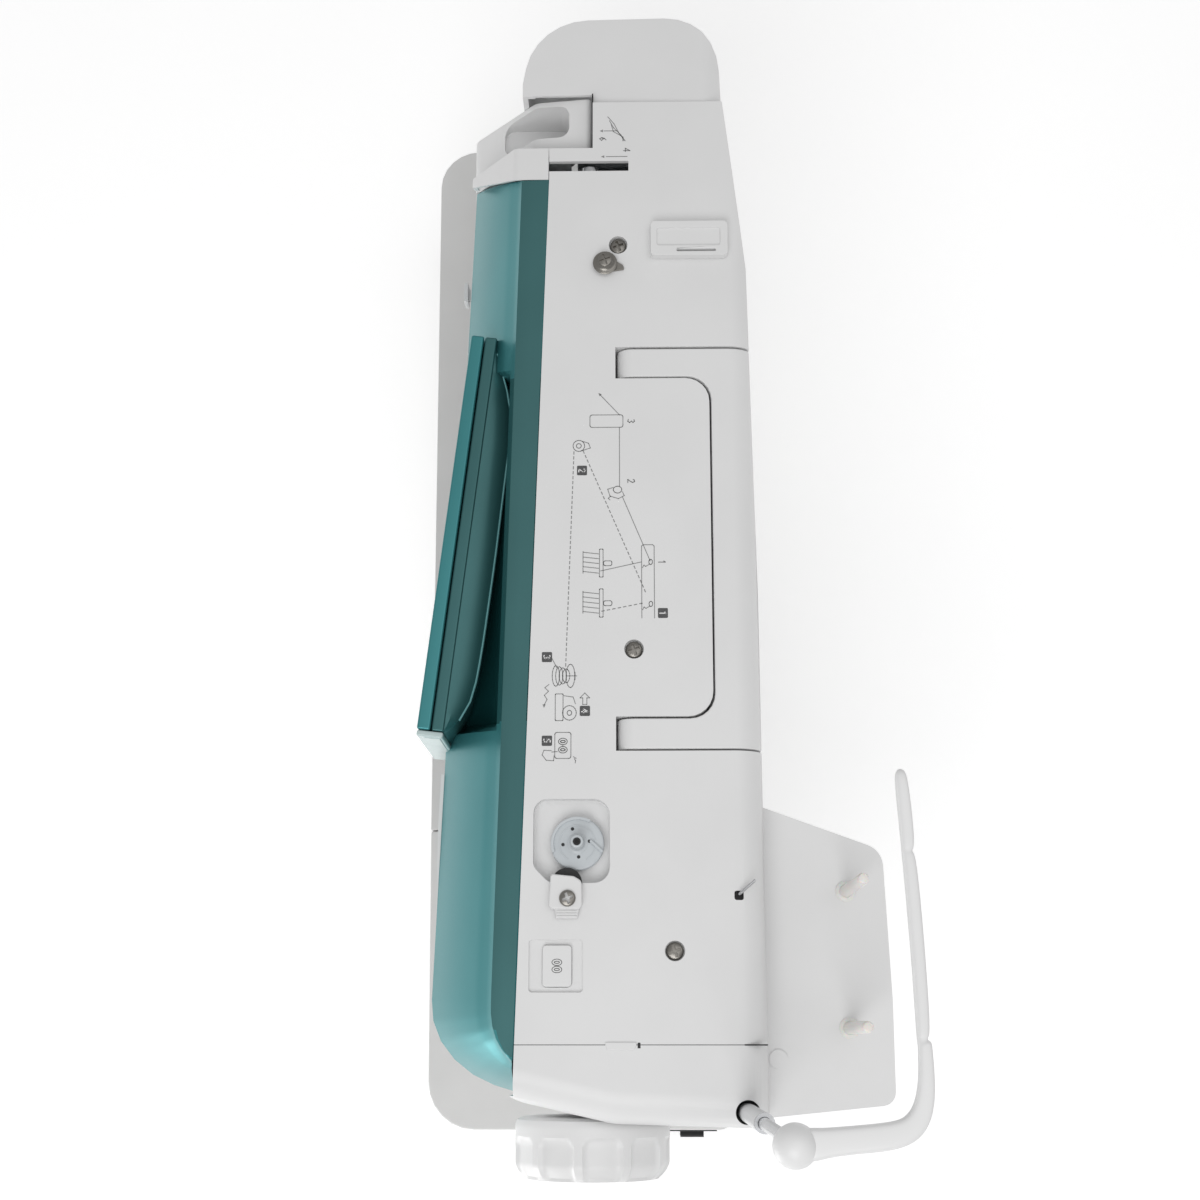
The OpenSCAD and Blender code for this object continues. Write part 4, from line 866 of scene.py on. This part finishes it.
rim_bar = soften(arc_bar("rim", 10.2, 11.5, 150, 290, SEAT - 0.4, SEAT + 1.0), 0.3)
inner_bar = soften(arc_bar("ring", 7.6, 8.1, 30, 330, SEAT - 0.2, SEAT + 0.25), 0.1)
fin_plan = [(WIND_X - 2.0, WIND_Y + 5.6), (WIND_X - 0.6, WIND_Y + 5.2),
            (WIND_X + 4.2, WIND_Y + 10.6), (WIND_X + 3.2, WIND_Y + 11.3)]
fin = soften(prism("fin", fin_plan, SEAT - 0.2, SEAT + 1.1), 0.3)
winder = join("winder_disc_and_post", [disc, rim_bar, inner_bar, fin])
hand_over(winder, "winder", winder_plastic, "winder_spindle")
socket = lathe("winder_post_socket", [(0, 5), (1.55, 5), (1.55, 9.25), (0.9, 9.2), (0.8, 8.0), (0, 8.0)],
               (WIND_X, WIND_Y, SEAT), 24)
# The tiny holes are drawn as thin black discs: painted shade in the holes
dot = lathe("dot", [(0, -0.3), (0.75, -0.3), (0.75, 0.06), (0, 0.06)], (0, 0, 0), 20)
dot_steps = ((1, 0.45), (-0.4, 0.95), (0.2, -1.15), (2.4, 0.1), (-2.6, -0.4))
dots = at_points("dots", dot, [(WIND_X + 2.4 * s, WIND_Y + 5.4 * t, SEAT) for s, t in dot_steps], black_nylon)
holes = join("winder_sockets", [socket, dots])
hand_over(holes, "winder", black_nylon, slot="black_plastic")

# %% Stopper
STOP_Z = TOP + 0.3
block_plan = rounded([(152.6, -36.2, 1.2), (166.0, -37.0, 1.6), (167.4, -35.8, 1.0), (167.6, -24.2, 1.0),
                      (166.0, -22.8, 1.6), (155.6, -23.0, 2.4), (153.6, -26.4, 2.0)], 4)
body = soften(prism("body", block_plan, STOP_Z, STOP_Z + 4.6), 0.7, segments=3)
grip_plan = [(167.0, -34.6), (171.4, -33.9), (171.4, -24.6), (167.0, -24.0)]
grip = soften(prism("grip", grip_plan, STOP_Z, STOP_Z + 3.2), 0.6)
rib = soften(box_mesh("rib", (-0.35, -4.4, 0), (0.35, 4.4, 0.55)), 0.15)
ribs = at_points("ribs", rib, [(168.4 + 1.1 * k, -29.3, STOP_Z + 3.1) for k in range(3)], white_abs)
stem = box_mesh("stem", (161.2, -31, TOP - 10), (165.8, -27, STOP_Z + 1))
stopper = join("winder_stopper_moulded", [body, grip, ribs, stem])
hand_over(stopper, "stopper", white_abs, "winder_stopper")
stop_screw = at_points("winder_stopper_screw", screw_head(3.5, 1.6), [(163.0, -29.0, STOP_Z + 4.4)],
                       screw_finish)
hand_over(stop_screw, "stopper", screw_finish, slot="bright_steel")
washer = lathe("winder_stopper_washer", [(0, 0.03), (6.5, 0.03), (6.5, 0.27), (0, 0.27)],
               (156.2, -29.4, TOP), 40)
hand_over(washer, "stopper", black_nylon, slot="black_plastic")

# %% Winder key
key_low, key_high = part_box("winder_button")
KEY_X, KEY_Y = (key_low.x + key_high.x) / 2 / MM, (key_low.y + key_high.y) / 2 / MM
KEY_HALF_X, KEY_HALF_Y = 8.7, 6.25
key_plan = box_path(KEY_X - KEY_HALF_X, KEY_X + KEY_HALF_X, KEY_Y - KEY_HALF_Y, KEY_Y + KEY_HALF_Y, 1.6, 5)
key_cap = soften(prism("cap", key_plan, TOP - 7.5, TOP + 0.4), 0.5, segments=3)
hand_over(key_cap, "winder_key", white_abs, "winder_button")

# %% [markdown]
# ## Fittings on the top cover
# A nickel-plated pretension disc with its teardrop spring, a bent wire guide, the acetal spool
# pins and a small latch tab. Turned and bent wire parts are made the way they are made in metal:
# on the lathe, and as a bar swept along a path.

# %% Pretension disc, wire guide, latch tab, spool pins
PRE_X, PRE_Y = -126.6, -12.9
plates = lathe("plates", [(0, 0), (2.9, 0), (2.9, 1.6), (5.5, 1.8), (5.6, 2.2), (3.4, 2.7), (4.6, 3.0),
                          (5.0, 3.5), (3.6, 3.8), (3.4, 5.2), (3.0, 5.5), (0, 5.5)], (PRE_X, PRE_Y, TOP))
spring_plan = rounded([(PRE_X - 3.4, PRE_Y + 2.0, 1.2), (PRE_X + 4.2, PRE_Y - 0.5, 1.6),
                       (PRE_X + 2.8, PRE_Y + 8.9, 0.6), (PRE_X + 0.6, PRE_Y + 8.2, 0.6)], 4)
spring = soften(prism("spring", spring_plan, TOP, TOP + 1.1), 0.25)
pretension = join("pretension_disc_plated", [plates, spring])
hand_over(pretension, "housing", screw_finish, "pretension_disc")
pre_screw = at_points("pretension_screw", screw_head(3.2, 1.0, 0.8, 0.8), [(PRE_X, PRE_Y, TOP + 5.4)],
                      screw_finish)
hand_over(pre_screw, "housing", screw_finish, slot="bright_steel")

wire = tube("wire_guide_bent", [(161.0, 44.2, TOP - 6), (161.0, 44.2, TOP + 1.6), (160.4, 44.9, TOP + 2.7),
                                (158.4, 47.2, TOP + 3.1), (155.9, 50.2, TOP + 3.1), (155.3, 50.6, TOP + 2.2)],
            0.6, 14)
hand_over(wire, "housing", bright_finish, "wire_guide")
# A black plate lies at the bottom of the guide's well: painted shade in the recess
wire_well = box_mesh("wire_guide_well", (157.4, 42.0, TOP - 4.5), (163.2, 45.9, TOP - 3.6))
hand_over(wire_well, "housing", black_nylon, slot="black_plastic")

tab_plan = rounded([(222.4, -13.4, 0.6), (225.6, -12.4, 0.8), (225.6, -0.8, 0.8), (222.4, 0.4, 0.6)], 4)
tab = soften(prism("latch_tab", tab_plan, TOP - 2.0, TOP + 0.7), 0.35, segments=3)
hand_over(tab, "housing", white_abs, slot="white_cover")
# A black box fills the gap beside the tab: painted shade in the gap
gap = box_mesh("latch_tab_gap", (222.6, 0.5, TOP - 1.2), (224.9, 1.7, TOP + 0.05))
hand_over(gap, "housing", black_nylon, slot="black_plastic")

# Dark strips stand in the long seams: painted shadow that draws the dark seam lines
END_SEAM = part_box("end_cover")[0].x / MM - 0.15
NOSE_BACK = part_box("head_nose")[1].y / MM + 0.15
for name, low, high in (("end_seam_felt", (END_SEAM - 0.3, -50.5), (END_SEAM + 0.3, 55.0)),
                        ("nose_seam_felt", (-213.2, NOSE_BACK - 0.25), (-185.6, NOSE_BACK + 0.35))):
    strip = box_mesh(name, (*low, TOP - 3.0), (*high, TOP - 0.3))
    hand_over(strip, "housing", black_nylon, slot="black_plastic")
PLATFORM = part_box("spool_platform")[1].z / MM - 0.8
pin_profile = [(0, 0), (4.5, 0), (4.5, 0.8), (4.0, 1.2), (3.1, 1.6), (2.6, 3.0), (2.5, 62), (2.35, 66.6),
               (1.8, 67.7), (0.8, 68.0), (0, 68.0)]
pins = [lathe("pin", pin_profile, (x, 92.0, PLATFORM), 40) for x in (158.0, 216.5)]
hand_over(join("spool_pins_acetal", pins), "housing", acetal, "spool_pins")

# %% [markdown]
# ## Telescopic mast and its thread guide
# A steel rod carries a ball, and from the ball a moulded arm tapers out, turns the corner and
# runs level over the spools, with two notches for thread. The arm is a loft along its centre
# line; the ball is a lathe part.

# %% Mast arm
rod_low, rod_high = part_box("mast_arm")
GUIDE = rod_high.z / MM - 7.5
MAST_X, MAST_Y = 251.0, 46.4
rod_foot, rod_end = rod_low.z / MM, GUIDE - 2
rod = lathe("rod", [(0, rod_foot), (2.3, rod_foot), (2.3, rod_end), (0, rod_end)], (MAST_X, MAST_Y, 0), 32)
hand_over(rod, "mast_upper", bright_finish, slot="bright_steel")
rod.name = "mast_rod_plated"
BALL_R = 6.9
ball = lathe("ball", [(BALL_R * math.sin(a), GUIDE - 0.9 - BALL_R * math.cos(a)) for a in
                      (math.pi * k / 20 for k in range(21))], (MAST_X + 1.4, MAST_Y + 1.4, 0), 40)
arm_line = [(252.2, 50.0, 5.6), (251.8, 55.0, 4.6), (251.0, 61.0, 4.2), (250.2, 71.0, 4.2), (249.2, 79.0, 4.2),
            (246.8, 83.6, 3.9), (241.8, 86.6, 3.1), (234.0, 87.8, 2.4), (224.0, 87.6, 2.1), (222.6, 87.5, 2.1),
            (222.2, 86.9, 1.6), (220.4, 86.8, 1.6), (220.0, 87.3, 2.1), (192.0, 86.4, 2.1), (166.0, 84.9, 2.1),
            (165.6, 84.3, 1.6), (163.8, 84.2, 1.6), (163.4, 84.8, 2.1), (146.0, 83.6, 2.1), (138.6, 82.9, 1.7)]
# The arm's section, as parts of its half width and half height
shape = [(-1, -0.7), (-0.75, -1), (0.75, -1), (1, -0.7), (1, 0.7), (0.7, 1), (-0.7, 1), (-1, 0.7)]
arm_rings = []
for i, (x, y, half) in enumerate(arm_line):
    a, b = Vector(arm_line[max(i - 1, 0)][:2]), Vector(arm_line[min(i + 1, len(arm_line) - 1)][:2])
    heading = (b - a).normalized()
    side = Vector((-heading.y, heading.x))
    tall = min(3.4, half + 1.2)
    arm_rings.append([(x + side.x * half * u, y + side.y * half * u, GUIDE - 0.6 + tall * v)
                      for u, v in shape])
arm_skin = loft("arm", arm_rings, smooth=40)
soft = arm_skin.modifiers.new("moulded curve", "SUBSURF")
soft.levels = soft.render_levels = 2
bake(arm_skin)
shade(arm_skin, 50)
arm = join("thread_guide_arm_moulded", [ball, arm_skin])
hand_over(arm, "mast_upper", white_abs, "mast_arm")
print("mast top:", round(rod_high.z / MM, 1))

# %% [markdown]
# ## Printed threading diagram
# The diagram is pad printed in grey: thin lines, dashes, small numerals and two bobbin signs. It
# is drawn as ribbons of ink a few hundredths of a millimetre high, so it shows from any side.
# Dashes are placed along their line by the second tree.

# %% Ink helpers
INK, LINE, ARROW = 0.07, 0.34, 1.7
ink_points, ink_faces = [], []


def fill(outline, z=TOP):
    """A flat patch of ink."""
    start, n = len(ink_points), len(outline)
    ink_points.extend((p[0], p[1], height) for height in (z - 0.02, z + INK) for p in outline)
    ink_faces.append(tuple(start + n + i for i in range(n)))
    ink_faces.append(tuple(start + i for i in reversed(range(n))))
    for i in range(n):
        j = (i + 1) % n
        ink_faces.append((start + i, start + j, start + n + j, start + n + i))


def stroke(line, width=LINE, closed=False, z=TOP):
    """A ribbon of ink through the points, one short bar for each stretch."""
    points = [Vector(p) for p in line]
    for a, b in zip(points, points[1:] + (points[:1] if closed else [])):
        along = b - a
        if along.length < 0.01:
            continue
        along.normalize()
        side = Vector((-along.y, along.x)) * width / 2
        a, b = a - along * width * 0.35, b + along * width * 0.35
        fill([a - side, b - side, b + side, a + side], z)


def ring(centre, rx, ry, width=LINE, steps=20):
    stroke(arc(centre, rx, ry, 0, 360, steps), width)


NUMERALS = {
    "1": [(0.3, 0.78), (0.55, 1.0), (0.55, 0.0)],
    "2": [(0.15, 0.8), (0.3, 0.98), (0.65, 1.0), (0.85, 0.75), (0.7, 0.5), (0.15, 0.0), (0.88, 0.0)],
    "3": [(0.15, 0.92), (0.55, 1.0), (0.82, 0.78), (0.5, 0.54), (0.85, 0.26), (0.55, 0.0), (0.12, 0.08)],
    "4": [(0.68, 0.0), (0.68, 1.0), (0.08, 0.3), (0.92, 0.3)],
    "5": [(0.8, 1.0), (0.22, 1.0), (0.16, 0.56), (0.6, 0.62), (0.85, 0.32), (0.58, 0.0), (0.12, 0.06)],
    "6": [(0.74, 0.98), (0.34, 0.72), (0.15, 0.3), (0.45, 0.0), (0.84, 0.28), (0.5, 0.56), (0.2, 0.38)],
}


def numeral(text, centre, size=3.0, z=TOP, width=0.42):
    x, y = centre
    stroke([(x + (u - 0.5) * size * 0.66, y + (v - 0.5) * size) for u, v in NUMERALS[text]], width, z=z)


def rectangle(x0, x1, y0, y1, r):
    stroke(box_path(x0, x1, y0, y1, r), closed=True)


def arrowhead(tip, heading):
    """A filled arrowhead; the heading is in degrees."""
    turns = [math.radians(heading) + s for s in (0.42, -0.42)]
    fill([(tip[0] - ARROW * math.cos(a), tip[1] - ARROW * math.sin(a)) for a in turns] + [tip])


def bobbin_sign(x, y, scale):
    for side in (-1, 1):
        ring((x + side * 1.9 * scale, y), 1.5 * scale, 2.0 * scale)
        ring((x + side * 1.9 * scale, y), 0.5 * scale, 1.1 * scale, 0.35)
    stroke([(x - 0.6 * scale, y), (x + 0.6 * scale, y)])


def print_piece(name, body, ink, slot, lift=0.0):
    """Hands over all that was drawn since the last print, as one piece."""
    points = [(x, y, z + lift) for x, y, z in ink_points]
    hand_over(outward(piece_from(name, points, ink_faces)), body, ink, slot=slot)
    ink_points.clear()
    ink_faces.clear()


# %% Draw the upper thread path
stroke([(-53.7, -6.4), (-63.4, -15.2)])
arrowhead((-64.3, -16.0), 222)
rectangle(-53.8, -47.9, -19.8, -4.9, 1.0)
numeral("3", (-50.8, -1.2))
stroke([(-47.9, -6.5), (-20.2, -6.5)])
ring((-18.6, -7.4), 1.6, 1.9)
stroke([(-17.6, -5.2), (-15.8, -4.4), (-14.4, -7.0), (-15.6, -10.8), (-18.8, -11.8), (-19.6, -9.4)])
stroke([(-15.6, -10.4), (-14.6, -11.6), (-13.8, -10.8)])
numeral("2", (-22.6, -1.3))
stroke([(-15.2, -5.2), (14.4, 7.0)])
stroke([(40.4, 3.2), (7.6, 3.2), (7.0, 3.9), (7.0, 8.1), (7.6, 8.8), (40.4, 8.8)])
for drop_x in (14.9, 34.0):
    ring((drop_x, 7.2), 1.2, 0.8, steps=12)
    stroke([(drop_x + 1.0, 6.8), (drop_x + 2.0, 5.0), (drop_x + 1.4, 4.2), (drop_x + 2.6, 3.6)])
numeral("1", (14.9, 12.2))
stroke([(18.9, -15.0), (14.9, 3.0)])

# %% Draw the two spools, the bobbin path and the signs
for spool_x in (15.3, 33.5):
    for k in range(5):
        stroke([(spool_x - 5.0 + 2.2 * k, -22.8), (spool_x - 4.2 + 2.2 * k, -15.9)])
    rectangle(spool_x - 6.4, spool_x + 6.4, -15.5, -13.9, 0.3)
    rectangle(spool_x - 1.0, spool_x + 1.2, -13.7, -10.0, 0.8)
    stroke([(spool_x - 5.4, -22.8), (spool_x + 4.6, -22.8)])
ring((-39.2, -24.8), 2.6, 2.6)
ring((-39.2, -24.8), 1.1, 1.1, steps=12)
stroke([(-36.8, -23.8), (-38.2, -19.6), (-40.4, -20.4), (-41.4, -23.2)])
# Dark tiles with a light numeral: the steps of bobbin winding
dark_tiles = (("2", (-29.9, -25.4, -25.6, -21.1)), ("1", (35.9, 40.4, 10.3, 14.7)),
              ("3", (55.5, 60.0, -40.8, -36.3)), ("4", (79.5, 84.0, -24.1, -19.6)),
              ("5", (92.6, 97.1, -40.6, -36.1)))

stroke([(58.4, -36.3), (62.6, -34.2)])
for k in range(4):
    ring((66.2, -34.6 + 1.5 * k), 4.6 - 0.5 * k, 1.6, steps=16)
ring((66.2, -28.2), 5.2, 1.9)
stroke([(66.2, -30.0), (66.2, -25.4)])
stroke([(64.6, -26.2), (68.0, -26.2)])
stroke([(70.0, -37.6), (71.4, -39.4), (73.0, -37.8), (74.8, -39.6), (76.6, -38.4), (79.0, -39.6)])
arrowhead((80.4, -39.7), 0)
stroke([(73.8, -21.9), (76.0, -24.0), (76.0, -22.8), (78.9, -22.8), (78.9, -21.0), (76.0, -21.0),
        (76.0, -19.8)], closed=True)
rectangle(74.2, 86.0, -34.8, -31.4, 0.4)
ring((82.6, -28.6), 3.2, 3.0)
ring((82.6, -28.6), 1.1, 1.0, steps=12)
stroke([(75.0, -31.2), (75.6, -27.0), (78.6, -26.0)])
rectangle(91.2, 102.6, -34.9, -27.9, 0.9)
bobbin_sign(97.0, -31.4, 0.95)
stroke([(99.2, -36.4), (99.0, -39.6), (101.0, -40.4), (103.4, -38.6), (103.6, -35.4), (101.4, -35.2)])
stroke([(99.8, -36.2), (99.6, -33.8)])
for k in range(3):
    stroke([(101.8 + 0.9 * k, -26.9 + 0.5 * k), (102.6 + 1.0 * k, -25.6 - 0.2 * k)])

# %% Hand sign, take-up numerals and the sign on the winder key
for reach, bow in ((0.0, 1.6), (2.0, 2.4), (4.0, 2.6)):
    stroke([(-201.0 + reach, -11.6 + 0.4 * reach), (-197.4 + reach, -8.2 - bow * 0.3),
            (-192.6 + 0.5 * reach, -6.4 + 0.5 * reach), (-188.6, -3.4 - 0.3 * reach)])
stroke([(-193.8, -7.3), (-193.8, -13.4)])
arrowhead((-193.8, -15.4), 270)
numeral("6", (-189.7, -13.9))
numeral("4", (-184.0, -2.8))
stroke([(-180.7, -2.6), (-180.7, -12.4)], 0.35)
arrowhead((-180.7, -14.8), 270)
print_piece("printed_threading_diagram", "housing", print_ink, "grey_plastic")
for _, tile in dark_tiles:
    fill(box_path(*tile, 0.5))
print_piece("printed_step_tiles", "housing", dark_ink, "grey_plastic")
for text, (x0, x1, y0, y1) in dark_tiles:
    numeral(text, ((x0 + x1) / 2, (y0 + y1) / 2), 2.9, TOP + INK + 0.02, 0.5)
print_piece("printed_step_numerals", "housing", white_abs, "white_cover")
for side in (-1, 1):
    for rx, ry in ((1.35, 2.1), (0.45, 1.1)):
        ring((KEY_X + side * 1.5, KEY_Y), rx, ry, 0.26)
print_piece("printed_bobbin_sign", "winder_key", dark_ink, "grey_plastic", 0.4)

# %% Dashes of the bobbin path
dash = box_mesh("dash", (-0.75, -0.21, -0.02), (0.75, 0.21, INK))
dash_lines = [[(-36.3, -22.6), (28.0, 4.6)], [(-35.9, -27.0), (61.3, -30.3)], [(37.1, -13.9), (33.8, 2.8)]]
dashed = []
for k, line in enumerate(dash_lines):
    path = piece_from(f"dashes {k}", [(x, y, TOP) for x, y in line], [])
    edit = bmesh.new()
    edit.from_mesh(path.data)
    edit.verts.ensure_lookup_table()
    edit.edges.new(edit.verts[:2])
    edit.to_mesh(path.data)
    edit.free()
    dashed.append(run_tree(path, dash_tree, Piece=dash, Pitch=2.3 * MM, Material=print_ink))
bpy.data.objects.remove(dash)
hand_over(join("printed_dashes", dashed), "housing", print_ink, slot="grey_plastic")
print("ink pieces:", len(dashed) + 4)

# %% CAD nodes that stay as they are get their finish
for node, obj in nodes.items():
    obj.data.materials.clear()
    obj.data.materials.append(finish_of_slot[slot_of_node[node]])
